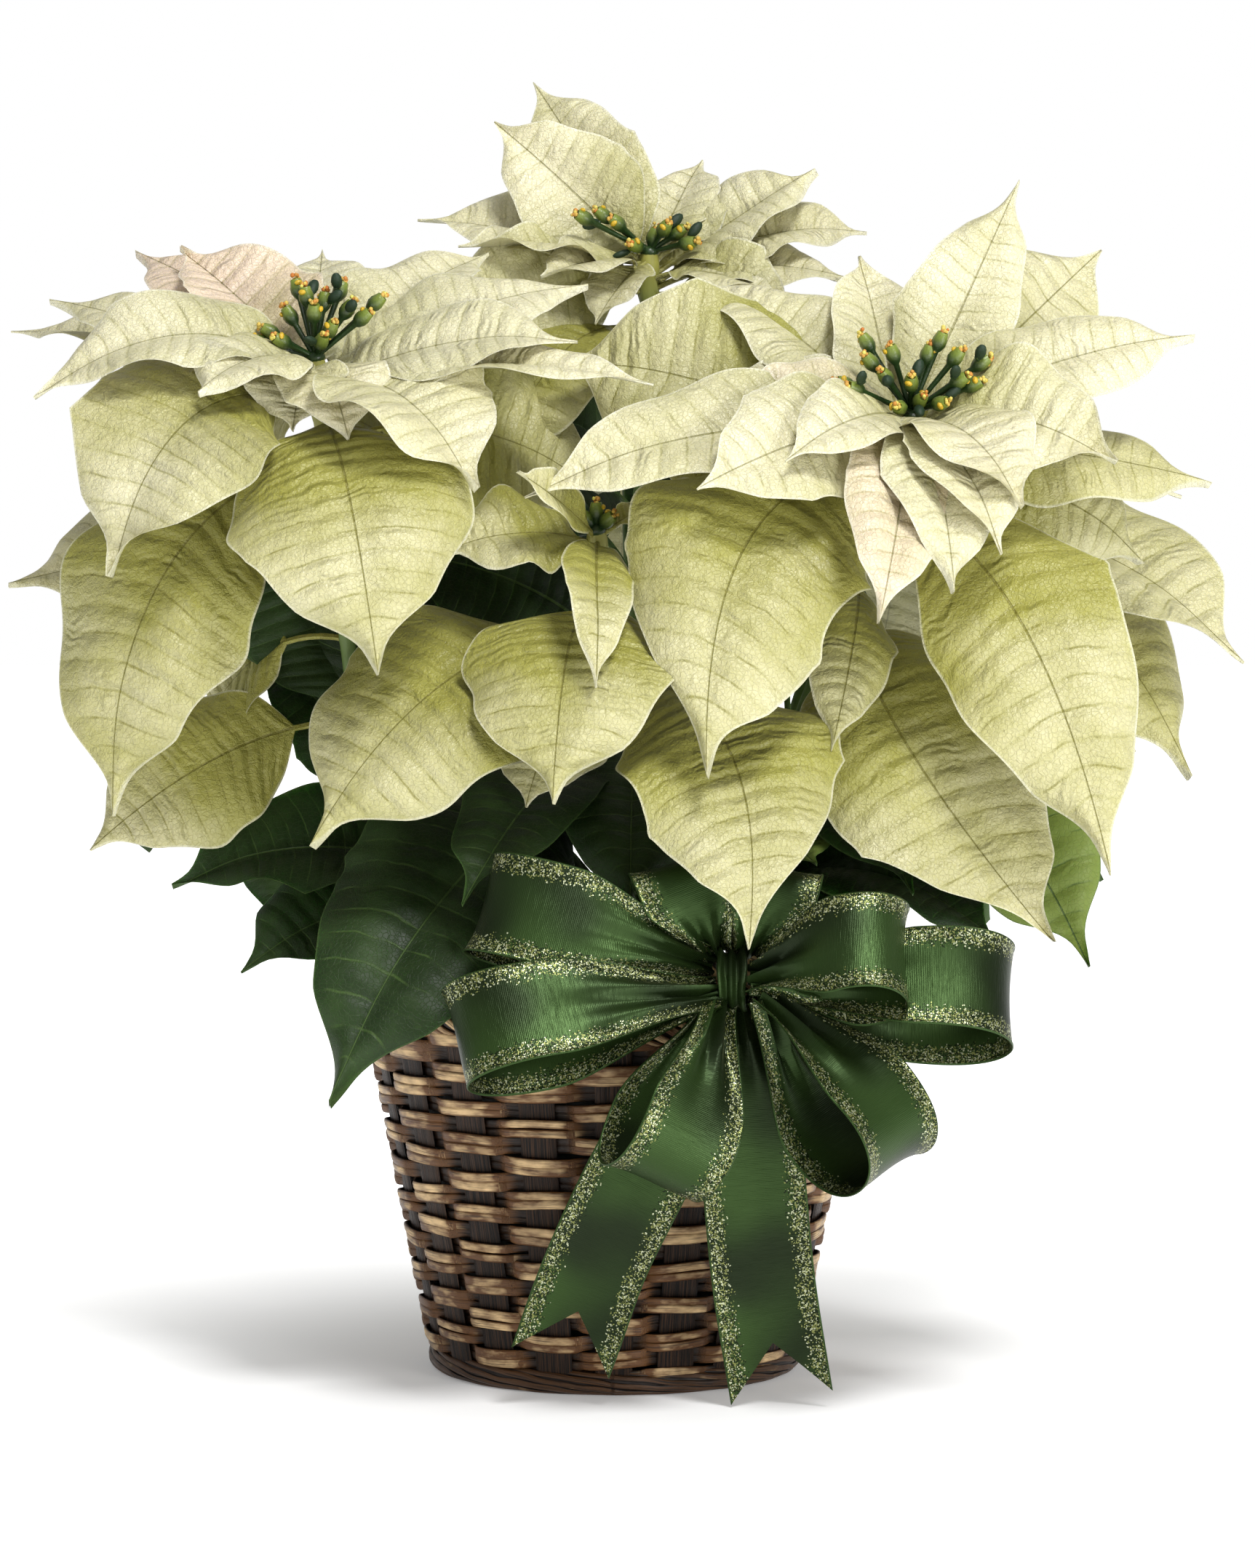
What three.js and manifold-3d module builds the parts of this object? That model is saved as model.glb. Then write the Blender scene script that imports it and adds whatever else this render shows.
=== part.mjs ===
// A cream poinsettia in a wicker basket, tied with a wide ribbon bow.
// Millimetres, +Z up, front towards -Y. The origin is the centre of the basket's underside.

import * as THREE from 'three';
import { mergeVertices } from 'three/addons/utils/BufferGeometryUtils.js';
import Module from 'manifold-3d';

const wasm = await Module();
wasm.setup();

// ---------------------------------------------------------------- driving dimensions

const gap = 0.4;           // clear space kept between parts
const sliver = 0.02;       // facets thinner than this are merged away after joining

const basket = {
  footRadius: 71.5,      // middle of the wall at the floor
  rimRadius: 98,         // middle of the wall at its top
  wallTop: 140,
  height: 159,
  baseThickness: 5,
  stakes: 19,
  stakeWidth: 15,
  stakeThickness: 1.6,
  weaveBottom: 10.6,
  weaveRows: 8,
  weaverThickness: 2,
  weaverSwing: 2.7,      // how far a weaver passes outside or inside the wall's middle
  footHeight: 10,
  footThickness: 8.4,
  rimThickness: 9.5,
};

const pot = { footRadius: 58, topRadius: 83, lipRadius: 86.5, lipHeight: 6, wall: 1.6, top: 138 };
const soil = { edgeHeight: 121, crownHeight: 126, holeRadius: 5.4, holeDepth: 32 };
const roundSides = 22;

const blade = { thickness: 0.8, stalkWidth: 2.6, stalkThickness: 1.6, widestAt: 0.42 };
const core = { radius: 3.6, top: 1.5 };
const stem = { topRadius: 3.1, footRadius: 4.6, sides: 6, steps: 6 };
const cup = { length: 8.5, radius: 3.1, stalkRadius: 1, sides: 4 };
const ribbon = { width: 40, thickness: 0.9, pinch: 0.32, notch: 22 };

// Blooms. `at` is the top of the shoot and `up` its direction. Each bract is
// [tip x, y, z, arch, width, drop, roll, fold]: `arch` lifts the midrib off the straight line,
// `drop` is how far below the shoot's top the stalk starts, `roll` turns the blade about its
// midrib in degrees and `fold` is the slope of its halves, 0 for a flat blade. A ninth number, `sweep`, turns the
// arch itself aside by that many degrees. Each cup is [x, y, z] from `at`.
const blooms = {
  left: {
    at: [-117, -52, 405], up: [-0.1, -0.2, 1], coreLength: 152, colour: 0xe9e3b4,
    bracts: [
      [-122, -80, 381, 6, 20, 1.5, 0, 0],
      [-107, -84, 385, 6, 20, 2.7, 0, 0],
      [-160, -96, 394, 9, 38, 3.9, -14, 0],
      [-119, 24, 455, 0, 36, 5.1, 0, 0],
      [-174, -2, 451, 2, 40, 6.3, -10, 0],
      [-51, 22, 454, 3, 38, 7.5, 16, 0],
      [-195, 22, 455, 3, 36, 8.7, -18, 0],
      [-50, -86, 363, 16, 56, 19.5, 0, 0.05],
      [-10, -12, 438, 8, 42, 11.1, 24, 0],
      [-226, -70, 391, 24, 50, 12.3, -24, 0],
      [-182, 84, 446, 6, 36, 9.9, 0, 0],
      [-14, -62, 416, 8, 36, 12.6, 20, 0],
      [-230, 28, 432, 6, 34, 17, -14, 0],
      [16, -76, 398, 9, 30, 13.8, 10, 0],
      [-252, 78, 422, 8, 36, 18.3, -10, 0],
      [-194, -100, 322, 32, 88, 20, -24, 0.05],
      [-89, -130, 286, 28, 94, 22, 3, 0.04],
      [-198, -76, 227, 34, 86, 38, -34, 0.04],
      [-168, 8, 254, 14, 52, 112, -40, 0.06],
      [-208, -40, 212, 12, 62, 146, -56, 0.06],
    ],
    cups: [
      [-21, -4, 14], [-16, -10, 10], [-12, 0, 22], [-4, -4, 30], [0, -10, 23],
      [4, 0, 28], [8, -8, 16], [15, -2, 24], [22, -6, 20],
    ],
  },
  top: {
    at: [14, 48, 449], up: [0.02, -0.1, 1], coreLength: 40, colour: 0xe9e6bc,
    bracts: [
      [-8, 14, 421, 3, 18, 1.5, 0, 0],
      [36, 92, 492, 0, 30, 2.7, 0, 0],
      [-30, 14, 440, 4, 26, 3.9, -14, 0],
      [48, 88, 484, 0, 32, 5.1, 0, 0],
      [-50, 60, 505, 2, 46, 6.3, -70, 0],
      [-35, 96, 524, 2, 36, 7.5, -50, 0],
      [82, 56, 486, 0, 38, 8.7, 24, 0],
      [66, 14, 432, 6, 28, 9.9, 20, 0],
      [-64, 34, 454, 6, 34, 12.6, -10, 0],
      [-82, 70, 466, 6, 40, 12.3, -22, 0],
      [104, 58, 462, 8, 40, 13.5, 24, 0],
      [96, 32, 440, 8, 32, 14.7, 20, 0],
      [10, 124, 470, 8, 44, 15.9, 0, 0],
      [-46, -14, 366, 20, 68, 32, -10, 0.06],
    ],
    cups: [
      [-30, -14, 17], [-22, -7, 19], [-16, -8, 16], [-8, -12, 5],
      [3, -2, 12], [8, -10, 14], [15, -4, 12], [19, -12, 6],
    ],
  },
  right: {
    at: [115, -62, 384], up: [0.3, -0.72, 1], coreLength: 96, colour: 0xeae6b6,
    bracts: [
      [100, -140, 307, 12, 34, 4.5, 0, 0],
      [129, -130, 318, 10, 34, 1.5, 0, 0],
      [65, -120, 369, 10, 28, 3.9, 0, 0],
      [148, -124, 333, 12, 34, 7, 0, 0],
      [161, -14, 478, -4, 44, 6.3, 0, 0],
      [46, -72, 397, 6, 24, 6, -6, 0],
      [157, -112, 356, 14, 50, 11, 0, 0],
      [229, -42, 417, 10, 38, 9.9, 6, 0],
      [98, -12, 449, -2, 38, 9, 0, 0],
      [31, -120, 356, 14, 56, 15, -18, 0.08],
      [-36, -100, 356, 18, 48, 16, -10, 0],
      [45, -54, 402, 6, 24, 14.7, -8, 0],
      [200, -66, 384, 12, 44, 16.5, 10, 0],
      [33, -10, 441, 9, 36, 15.9, -8, 0],
      [184, 20, 462, 4, 48, 20, 24, 0],
      [-21, -26, 413, 11, 66, 30, -18, 0.06],
      [236, -36, 357, 10, 36, 21.5, 10, 0],
      [214, -26, 326, 19, 54, 35, 34, 0.08],
      [35, -138, 248, 36, 92, 25, 0, 0.04, 55],
      [190, -114, 208, 32, 76, 40, 30, 0.04],
      [171, -88, 180, 30, 90, 90, 24, 0.04, 60],
      [84, -98, 256, 16, 30, 80, 0, 0],
    ],
    cups: [
      [-29, -8, 14], [-25, -21, 12], [-19, -4, 32], [-12, -14, 18], [-6, -20, 4],
      [0, -14, 16], [8, -4, 28], [14, -16, 6], [20, -10, 26], [28, -8, 14],
    ],
  },
  middle: {
    at: [-7, -62, 338], up: [-0.1, -0.4, 1], coreLength: 70, colour: 0xdfe09a,
    bracts: [
      [14, -64, 350, 0, 16, 1.5, 0, 0],
      [-36, -58, 364, 0, 20, 2.7, 0, 0],
      [-3, -140, 287, 12, 36, 4, 0, 0],
      [-66, -84, 333, 6, 40, 5.5, -16, 0],
      [-23, -134, 237, 30, 86, 36, 0, 0.04],
      [-118, -104, 219, 28, 88, 48, -16, 0.04],
      [-34, -80, 232, 14, 44, 58, 0, 0],
      [52, -150, 186, 30, 84, 64, 0, 0.04, -45],
    ],
    cups: [[-7, -4, 9], [0, -2, 13], [7, -6, 8]],
  },
  back_left: {
    at: [-105, 75, 352], up: [-0.45, 0.5, 1], coreLength: 50, colour: 0xe4dea6,
    bracts: [
      [-62, 132, 410, 4, 42, 5, 0, 0],
      [-86, 186, 364, 12, 52, 8, 0, 0],
      [-206, 118, 372, 12, 50, 9, 0, 0],
      [-170, 172, 346, 10, 56, 19, 0, 0],
      [-242, 22, 318, 14, 56, 16, -58, 0.06],
      [-100, 200, 250, 30, 84, 26, 0, 0.05],
      [-190, 158, 258, 30, 80, 30, 0, 0.05],
      [-222, 70, 246, 26, 70, 36, 0, 0.05],
    ],
    cups: [[-12, -3, 12], [-6, 3, 16], [2, -4, 14]],
  },
  back_right: {
    at: [118, 82, 362], up: [0.5, 0.45, 1], coreLength: 50, colour: 0xe4dea6,
    bracts: [
      [78, 112, 424, 4, 44, 5, 0, 0],
      [72, 152, 400, 10, 42, 7, 0, 0],
      [240, 112, 352, 12, 52, 9, 0, 0],
      [112, 196, 356, 10, 52, 16, 0, 0],
      [200, 178, 326, 14, 58, 29, 0, 0],
      [256, 2, 290, 16, 62, 18, 55, 0.06],
      [108, 204, 246, 30, 78, 28, 0, 0.05],
      [224, 142, 240, 28, 72, 44, 0, 0.05],
      [237, 12, 241, 26, 62, 34, 60, 0.06],
    ],
    cups: [[2, -3, 14], [8, 3, 15], [14, 6, 11]],
  },
  back: {
    at: [6, 132, 386], up: [0, 0.55, 1], coreLength: 46, colour: 0xe4dea6,
    bracts: [
      [72, 222, 380, 12, 52, 3, 0, 0],
      [72, 168, 430, 4, 40, 6, 0, 0],
      [-62, 176, 426, 4, 40, 9, 0, 0],
      [-64, 220, 382, 12, 52, 12, 0, 0],
      [4, 246, 354, 16, 62, 15, 0, 0.06],
      [0, 222, 254, 30, 86, 30, 0, 0.04],
    ],
    cups: [[-7, -1, 14], [0, 4, 17], [7, -2, 14]],
  },
};

// Rooted plants. `foot` is where the stem stands in the soil. `shoots` lists the blooms the plant
// carries, the first on the stem itself and the others on branches that leave it at `from`
// (0 foot, 1 top). Each leaf is [shoot, place on it, tip x, y, z, arch, width, roll, fold].
const plants = {
  left: {
    foot: [-34, -6], colour: 0x2c5a35, shoots: [['left', 0], ['back_left', 0.32]],
    leaves: [
      [0, 0.26, -148, -54, 166, 22, 68, -34, 0.10],
      [0, 0.40, -177, -34, 200, 18, 56, -40, 0.10],
      [1, 0.30, -150, 110, 170, 24, 74, 0, 0.10],
      [1, 0.60, -196, 52, 206, 24, 66, 0, 0.10],
      [1, 0.80, -46, 160, 296, 18, 48, 0, 0],
    ],
  },
  centre: {
    foot: [6, 24], colour: 0x2a5534, shoots: [['top', 0], ['middle', 0.26], ['back', 0.34]],
    leaves: [
      [0, 0.32, -110, -126, 128, 28, 90, -28, 0.08],
      [0, 0.70, -38, -16, 352, 12, 46, 0, 0],
      [0, 0.62, 46, -28, 330, 12, 48, 0, 0],
      [0, 0.30, -84, 78, 190, 20, 72, 0, 0],
      [0, 0.34, 92, 76, 196, 20, 70, 0, 0],
      [2, 0.30, 46, 180, 172, 26, 76, 0, 0.10],
      [2, 0.50, -64, 190, 200, 26, 76, 0, 0.10],
      [1, 0.30, -58, -118, 196, 22, 52, -10, 0.10],
    ],
  },
  right: {
    foot: [46, -4], colour: 0x2c5a35, shoots: [['right', 0], ['back_right', 0.32]],
    leaves: [
      [0, 0.22, 78, -92, 214, 18, 44, 10, 0],
      [0, 0.26, 150, -62, 178, 22, 62, 14, 0.10],
      [0, 0.44, 117, -88, 202, 20, 58, 10, 0.10],
      [0, 0.60, 187, -62, 168, 30, 44, 44, 0.10],
      [1, 0.30, 160, 108, 172, 24, 76, 0, 0.10],
      [1, 0.60, 206, 40, 196, 24, 66, 0, 0.10],
    ],
  },
};

// Bow. Each loop is [direction x, y, z, width axis x, y, z, length, opening, shift x, y, z]
// from the knot. Each tail lists the points of its middle line, from the knot to its end.
const knot = [45, -115, 169];
const bowLoops = [
  [-1, -0.15, -0.12, 0.05, 0.2, 1, 100, 34, 0, -4, -4],
  [-0.92, 0.0, 0.34, 0.30, 0.10, 1, 90, 28, -2, 3, 4],
  [-0.40, 0.10, 1, 1, 0.1, 0.4, 46, 20, -4, 3, 4],
  [0.30, 0.15, 1, 1, 0.0, -0.3, 42, 18, 4, 3, 4],
  [0.84, -0.20, 0.28, -0.22, 0.25, 1, 70, 34, 2, -2, 2],
  [1, -0.05, -0.12, 0.05, 0.15, 1, 106, 38, 2, 4, -5],
  [0.68, -0.22, -0.70, 0.70, 0.2, 0.70, 86, 38, 2, -3, -4],
  [-0.25, -0.28, -0.93, 0.96, 0.1, -0.25, 70, 34, -3, -4, -4],
];
const bowTails = [
  [[42, -114, 162], [30, -114, 132], [13, -114, 100], [-6, -108, 60], [-21, -101, 18]],
  [[47, -114, 162], [51, -112, 128], [54, -108, 88], [58, -104, 48], [65, -99, 4]],
];

// ---------------------------------------------------------------- small helpers

const vec = (list) => new THREE.Vector3(...list);
const smooth = (x) => THREE.MathUtils.smoothstep(x, 0, 1);

/** Triangles as a closed geometry that faces outwards. */
function closedGeometry(points, triangles) {
  const geometry = new THREE.BufferGeometry();
  geometry.setAttribute('position', new THREE.Float32BufferAttribute(points.flatMap((p) => [p.x, p.y, p.z]), 3));
  let volume = 0;
  for (const [a, b, c] of triangles) {
    volume += points[a].dot(new THREE.Vector3().crossVectors(points[b], points[c]));
  }
  const outward = volume > 0 ? triangles : triangles.map(([a, b, c]) => [a, c, b]);
  geometry.setIndex(outward.flat());
  return geometry;
}

/** A solid through rings of points, capped at both ends or closed on itself. */
function loft(rings, closed = false) {
  const sides = rings[0].length;
  const count = rings.length;
  const triangles = [];
  const spans = closed ? count : count - 1;
  for (let i = 0; i < spans; i++) {
    for (let j = 0; j < sides; j++) {
      const a = i * sides + j;
      const b = i * sides + ((j + 1) % sides);
      const shift = (((i + 1) % count) - i) * sides;
      triangles.push([a, b, b + shift], [a, b + shift, a + shift]);
    }
  }
  if (!closed) {
    const end = (count - 1) * sides;
    for (let j = 1; j < sides - 1; j++) {
      triangles.push([0, j + 1, j], [end, end + j, end + j + 1]);
    }
  }
  return closedGeometry(rings.flat(), triangles);
}

/** A thin solid over a grid of { points, normal, thickness } rows, split alike on both faces. */
function sheet(rows) {
  const columns = rows[0].points.length;
  const face = (sign) => rows.flatMap(({ points, normal, thickness }) =>
    points.map((p) => p.clone().addScaledVector(normal, (sign * thickness) / 2)));
  const under = rows.length * columns;
  const triangles = [];
  const quad = (a, b, c, d) => triangles.push([a, b, c], [a, c, d]);
  for (let i = 0; i < rows.length - 1; i++) {
    for (let j = 0; j < columns - 1; j++) {
      const a = i * columns + j;
      const b = a + 1;
      const c = b + columns;
      const d = a + columns;
      const pair = j < (columns - 1) / 2 ? [[a, b, c], [a, c, d]] : [[a, b, d], [b, c, d]];
      for (const [p, q, r] of pair) {
        triangles.push([p, q, r], [under + p, under + r, under + q]);
      }
    }
    const left = i * columns;
    const right = left + columns - 1;
    quad(left + columns, under + left + columns, under + left, left);
    quad(right, under + right, under + right + columns, right + columns);
  }
  const last = (rows.length - 1) * columns;
  for (let j = 0; j < columns - 1; j++) {
    quad(j + 1, j, under + j, under + j + 1);
    quad(last + j, last + j + 1, under + last + j + 1, under + last + j);
  }
  return closedGeometry([...face(1), ...face(-1)], triangles);
}

/** A ring of points round a centre, in the plane of two axes. */
function ring(centre, across, along, radius, sides) {
  return Array.from({ length: sides }, (_, k) => {
    const angle = (2 * Math.PI * k) / sides;
    return centre.clone()
      .addScaledVector(across, radius * Math.cos(angle))
      .addScaledVector(along, radius * Math.sin(angle));
  });
}

/** Two unit axes at right angles to a direction. */
function crossAxes(direction) {
  const guide = Math.abs(direction.z) > 0.9 ? vec([1, 0, 0]) : vec([0, 0, 1]);
  const across = new THREE.Vector3().crossVectors(guide, direction).normalize();
  return [across, new THREE.Vector3().crossVectors(direction, across).normalize()];
}

/** A round rod through points, its radius going evenly from one end to the other. */
function rod(points, startRadius, endRadius, sides) {
  const rings = points.map((p, i) => {
    const before = points[Math.max(i - 1, 0)];
    const after = points[Math.min(i + 1, points.length - 1)];
    const [across, along] = crossAxes(after.clone().sub(before).normalize());
    const radius = THREE.MathUtils.lerp(startRadius, endRadius, i / (points.length - 1));
    return ring(p, across, along, radius, sides);
  });
  return loft(rings);
}

/** A lathe profile of [radius, height] points turned about the Z axis. */
function turned(profile, sides = roundSides) {
  const points = profile.map(([radius, height]) => new THREE.Vector2(radius, height));
  return new THREE.LatheGeometry(points, sides).rotateX(Math.PI / 2);
}

function toManifold(geometry) {
  const bare = geometry.clone();
  bare.deleteAttribute('normal');
  bare.deleteAttribute('uv');
  const merged = mergeVertices(bare, 1e-4);
  const vertProperties = new Float32Array(merged.attributes.position.array);
  const triVerts = new Uint32Array(merged.index.array);
  return new wasm.Manifold(new wasm.Mesh({ numProp: 3, vertProperties, triVerts }));
}

function fromManifold(solid) {
  const result = solid.getMesh();
  const geometry = new THREE.BufferGeometry();
  geometry.setAttribute('position', new THREE.Float32BufferAttribute(result.vertProperties, 3));
  geometry.setIndex([...result.triVerts]);
  return geometry;
}

/** Geometries joined in one solid, without the loose scraps and slivers that joining leaves. */
function fuse(geometries) {
  const joined = geometries.map(toManifold).reduce((sum, solid) => sum.add(solid));
  const bySize = joined.decompose().sort((a, b) => b.volume() - a.volume());
  return fromManifold(bySize[0].simplify(sliver));
}

/** One solid with others cut from it. */
function cut(geometry, tools) {
  return fromManifold(tools.map(toManifold).reduce((rest, tool) => rest.subtract(tool), toManifold(geometry)));
}

const object = new THREE.Group();

function addPart(name, geometry, colour, roughness = 0.7) {
  const material = new THREE.MeshStandardMaterial({ color: colour, roughness, metalness: 0 });
  const mesh = new THREE.Mesh(geometry, material);
  mesh.name = name;
  object.add(mesh);
}

// ---------------------------------------------------------------- basket

const wallRadius = (z) => THREE.MathUtils.mapLinear(z, 0, basket.wallTop, basket.footRadius, basket.rimRadius);
const around = (angle, radius, z) => vec([radius * Math.sin(angle), -radius * Math.cos(angle), z]);

/** A flat stake that stands up the wall. */
function stake(angle) {
  const side = vec([Math.cos(angle), Math.sin(angle), 0]);
  const rings = [basket.baseThickness / 2, basket.wallTop].map((z) => {
    const corners = [[-1, -1], [1, -1], [1, 1], [-1, 1]];
    return corners.map(([across, out]) =>
      around(angle, wallRadius(z) + (out * basket.stakeThickness) / 2, z)
        .addScaledVector(side, (across * basket.stakeWidth) / 2));
  });
  return loft(rings);
}

/** A rolled border: an oval ring whose strands slant round it. */
function border(middleRadius, middleHeight, halfThickness, halfHeight, sides, lean) {
  const steps = basket.stakes * 2;
  const rings = Array.from({ length: steps }, (_, i) => {
    const angle = (2 * Math.PI * i) / steps;
    return Array.from({ length: sides }, (_, k) => {
      const turn = (2 * Math.PI * (k + 0.5)) / sides;
      const swell = 1 + 0.1 * Math.cos(basket.stakes * angle + lean * turn);
      const radius = middleRadius + halfThickness * swell * Math.cos(turn);
      const height = middleHeight + halfHeight * Math.sin(turn) * (0.5 + 0.5 * swell);
      return around(angle, radius, Math.max(height, 0));
    });
  });
  return loft(rings, true);
}

/** One flat weaver that climbs the wall in a spiral, outside one stake and inside the next. */
function weaver() {
  const pitch = (basket.wallTop - basket.weaveBottom) / (basket.weaveRows + 1);
  const halfHeight = (pitch - gap - 0.2) / 2;
  const passes = basket.stakes * basket.weaveRows;
  const rings = [];
  for (let pass = 0; pass <= passes; pass++) {
    const side = pass % 2 === 0 ? 1 : -1;
    for (const edge of [-1, 1]) {
      const reach = (basket.stakeWidth / 2 + 0.6) / wallRadius(basket.wallTop / 2);
      const angle = (2 * Math.PI * pass) / basket.stakes + edge * reach;
      const z = basket.weaveBottom + pitch * (0.5 + angle / (2 * Math.PI));
      const corners = [[-1, -1], [-1, 1], [1, 1], [1, -1]];
      rings.push(corners.map(([out, up]) => {
        const height = z + up * halfHeight;
        const swing = side * basket.weaverSwing + (out * basket.weaverThickness) / 2;
        return around(angle, wallRadius(height) + swing, height);
      }));
    }
  }
  return loft(rings);
}

function addBasket() {
  const halfFoot = basket.footHeight / 2;
  const base = turned([[0, 0], [basket.footRadius - 3, 0], [basket.footRadius - 3, basket.baseThickness],
    [0, basket.baseThickness]], basket.stakes * 2);
  const foot = border(basket.footRadius, halfFoot, basket.footThickness / 2, halfFoot, 5, 1);
  const stakes = Array.from({ length: basket.stakes }, (_, i) => stake((2 * Math.PI * i) / basket.stakes));
  addPart('basket_frame', fuse([base, foot, ...stakes]), 0x4a2f1c, 0.8);
  addPart('basket_weave', weaver(), 0x9a7448, 0.6);
  const halfRim = (basket.height - basket.wallTop - gap) / 2 - 0.2;
  const rimMiddle = basket.wallTop + gap + halfRim * 1.1;
  addPart('basket_rim', border(basket.rimRadius, rimMiddle, basket.rimThickness / 2, halfRim, 6, -1), 0x8a6238, 0.6);
}

// ---------------------------------------------------------------- pot and soil

const potFoot = basket.baseThickness + gap;
const potRadius = (z) => THREE.MathUtils.mapLinear(z, potFoot, pot.top, pot.footRadius, pot.topRadius);

function addPot() {
  const lipFoot = pot.top - pot.lipHeight;
  addPart('nursery_pot', turned([
    [0, potFoot],
    [potRadius(potFoot), potFoot],
    [potRadius(lipFoot), lipFoot],
    [pot.lipRadius, lipFoot],
    [pot.lipRadius, pot.top],
    [potRadius(pot.top) - pot.wall, pot.top],
    [potRadius(potFoot) - pot.wall, potFoot + pot.wall],
    [0, potFoot + pot.wall],
  ]), 0x2f3a30, 0.5);
}

function addSoil() {
  const foot = potFoot + pot.wall + gap;
  const inset = pot.wall + gap;
  const body = turned([
    [0, foot],
    [potRadius(foot) - inset, foot],
    [potRadius(soil.edgeHeight) - inset, soil.edgeHeight],
    [potRadius(soil.edgeHeight) * 0.5, soil.crownHeight],
    [0, soil.crownHeight],
  ]);
  const holes = Object.values(plants).map(({ foot: [x, y] }) => {
    const bottom = soil.crownHeight - soil.holeDepth;
    return rod([vec([x, y, bottom]), vec([x, y, soil.crownHeight + 20])], soil.holeRadius, soil.holeRadius, 10);
  });
  addPart('potting_soil', cut(body, holes), 0x2a2018, 0.95);
}

// ---------------------------------------------------------------- blades

/** Half width of a blade along its length, from 0 at the base to 0 at the drawn-out tip. */
function outline(t) {
  if (t < blade.widestAt) {
    return Math.sin((Math.PI / 2) * (t / blade.widestAt)) ** 0.8;
  }
  const rest = (t - blade.widestAt) / (1 - blade.widestAt);
  return (1 - rest ** 1.8) * (1 - 0.3 * rest ** 3);
}

/** A stalked leaf or bract: its midrib is a quadratic curve from root to tip, lifted by `arch`. */
function bladeGeometry(root, tip, lift, arch, width, stalk, roll, fold, sweep = 0) {
  const chord = tip.clone().sub(root);
  const length = chord.length();
  const ahead = chord.clone().normalize();
  const raise = lift.clone().addScaledVector(ahead, -lift.dot(ahead)).normalize();
  const aside = raise.clone().applyAxisAngle(ahead, THREE.MathUtils.degToRad(sweep));
  const bend = root.clone().lerp(tip, 0.38).addScaledVector(aside, 2 * arch);
  const midrib = new THREE.QuadraticBezierCurve3(root, bend, tip);
  const sideways = new THREE.Vector3().crossVectors(ahead, raise).normalize();
  const start = Math.min(stalk / length, 0.5);
  const places = fold === 0 ? [-1, 0, 0.42, 0.76, 1] : [-1, 0, 0.14, 0.42, 0.76, 1];
  const rows = places.map((place) => {
    const onBlade = Math.max(place, 0);
    const t = place < 0 ? 0 : start + (1 - start) * onBlade;
    const tangent = midrib.getTangent(t);
    const side = sideways.clone().applyAxisAngle(tangent, THREE.MathUtils.degToRad(roll));
    const normal = new THREE.Vector3().crossVectors(side, tangent).normalize();
    const half = Math.max((width / 2) * outline(onBlade), place <= 0 ? blade.stalkWidth / 2 : 0.6);
    const middle = midrib.getPoint(t);
    const edge = (sign) => middle.clone()
      .addScaledVector(side, sign * half)
      .addScaledVector(normal, place <= 0 ? 0 : half * fold);
    const thickness = place <= 0 ? blade.stalkThickness : blade.thickness;
    return { points: fold === 0 ? [edge(-1), edge(1)] : [edge(-1), middle, edge(1)], normal, thickness };
  });
  return sheet(rows);
}

// ---------------------------------------------------------------- blooms

function shootAxis(bloom) {
  return vec(bloom.up).normalize();
}

function bractGeometry(bloom, [x, y, z, arch, width, drop, roll, fold, sweep]) {
  const axis = shootAxis(bloom);
  const root = vec(bloom.at).addScaledVector(axis, -drop);
  return bladeGeometry(root, vec([x, y, z]), axis, arch, width, 9 + 0.5 * Math.min(drop, 40), roll, fold, sweep);
}

/** A flower cup on its stalk, from the middle of the bloom. */
function cupGeometry(bloom, offset) {
  const axis = shootAxis(bloom);
  const base = vec(bloom.at).addScaledVector(axis, core.top + gap + 2);
  const end = vec(bloom.at).add(vec(offset));
  const way = end.clone().sub(base);
  const reach = way.length();
  const direction = way.normalize();
  const [across, along] = crossAxes(direction);
  const stations = [
    [0, cup.stalkRadius],
    [reach - cup.length, cup.stalkRadius],
    [reach - cup.length * 0.5, cup.radius],
    [reach, cup.radius * 0.5],
  ];
  return loft(stations.map(([distance, radius]) =>
    ring(base.clone().addScaledVector(direction, distance), across, along, radius, cup.sides)));
}

function addBloom(name, bloom) {
  const axis = shootAxis(bloom);
  const along = (distance) => vec(bloom.at).addScaledVector(axis, distance);
  const shoot = rod([along(core.top), along(-bloom.coreLength)], core.radius, stem.topRadius, stem.sides);
  const bracts = bloom.bracts.map((row) => bractGeometry(bloom, row));
  addPart(`bloom_${name}_bracts`, fuse([shoot, ...bracts]), bloom.colour, 0.6);
  const seatFoot = core.top + gap;
  const seat = rod([along(seatFoot), along(seatFoot + 3)], core.radius, core.radius * 0.8, stem.sides);
  const cups = bloom.cups.map((offset) => cupGeometry(bloom, offset));
  addPart(`bloom_${name}_cyathia`, fuse([seat, ...cups]), 0x5d7a2c, 0.5);
}

// ---------------------------------------------------------------- stems and green leaves

/** The path from one point to the foot of a bloom's shoot, leaving along `away`. */
function shootPath(start, away, bloom) {
  const axis = shootAxis(bloom);
  const end = vec(bloom.at).addScaledVector(axis, -bloom.coreLength - 3 * gap);
  const reach = end.distanceTo(start) * 0.4;
  return new THREE.CubicBezierCurve3(
    start,
    start.clone().addScaledVector(away, reach),
    end.clone().addScaledVector(axis, -reach * 0.6),
    end,
  );
}

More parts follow.
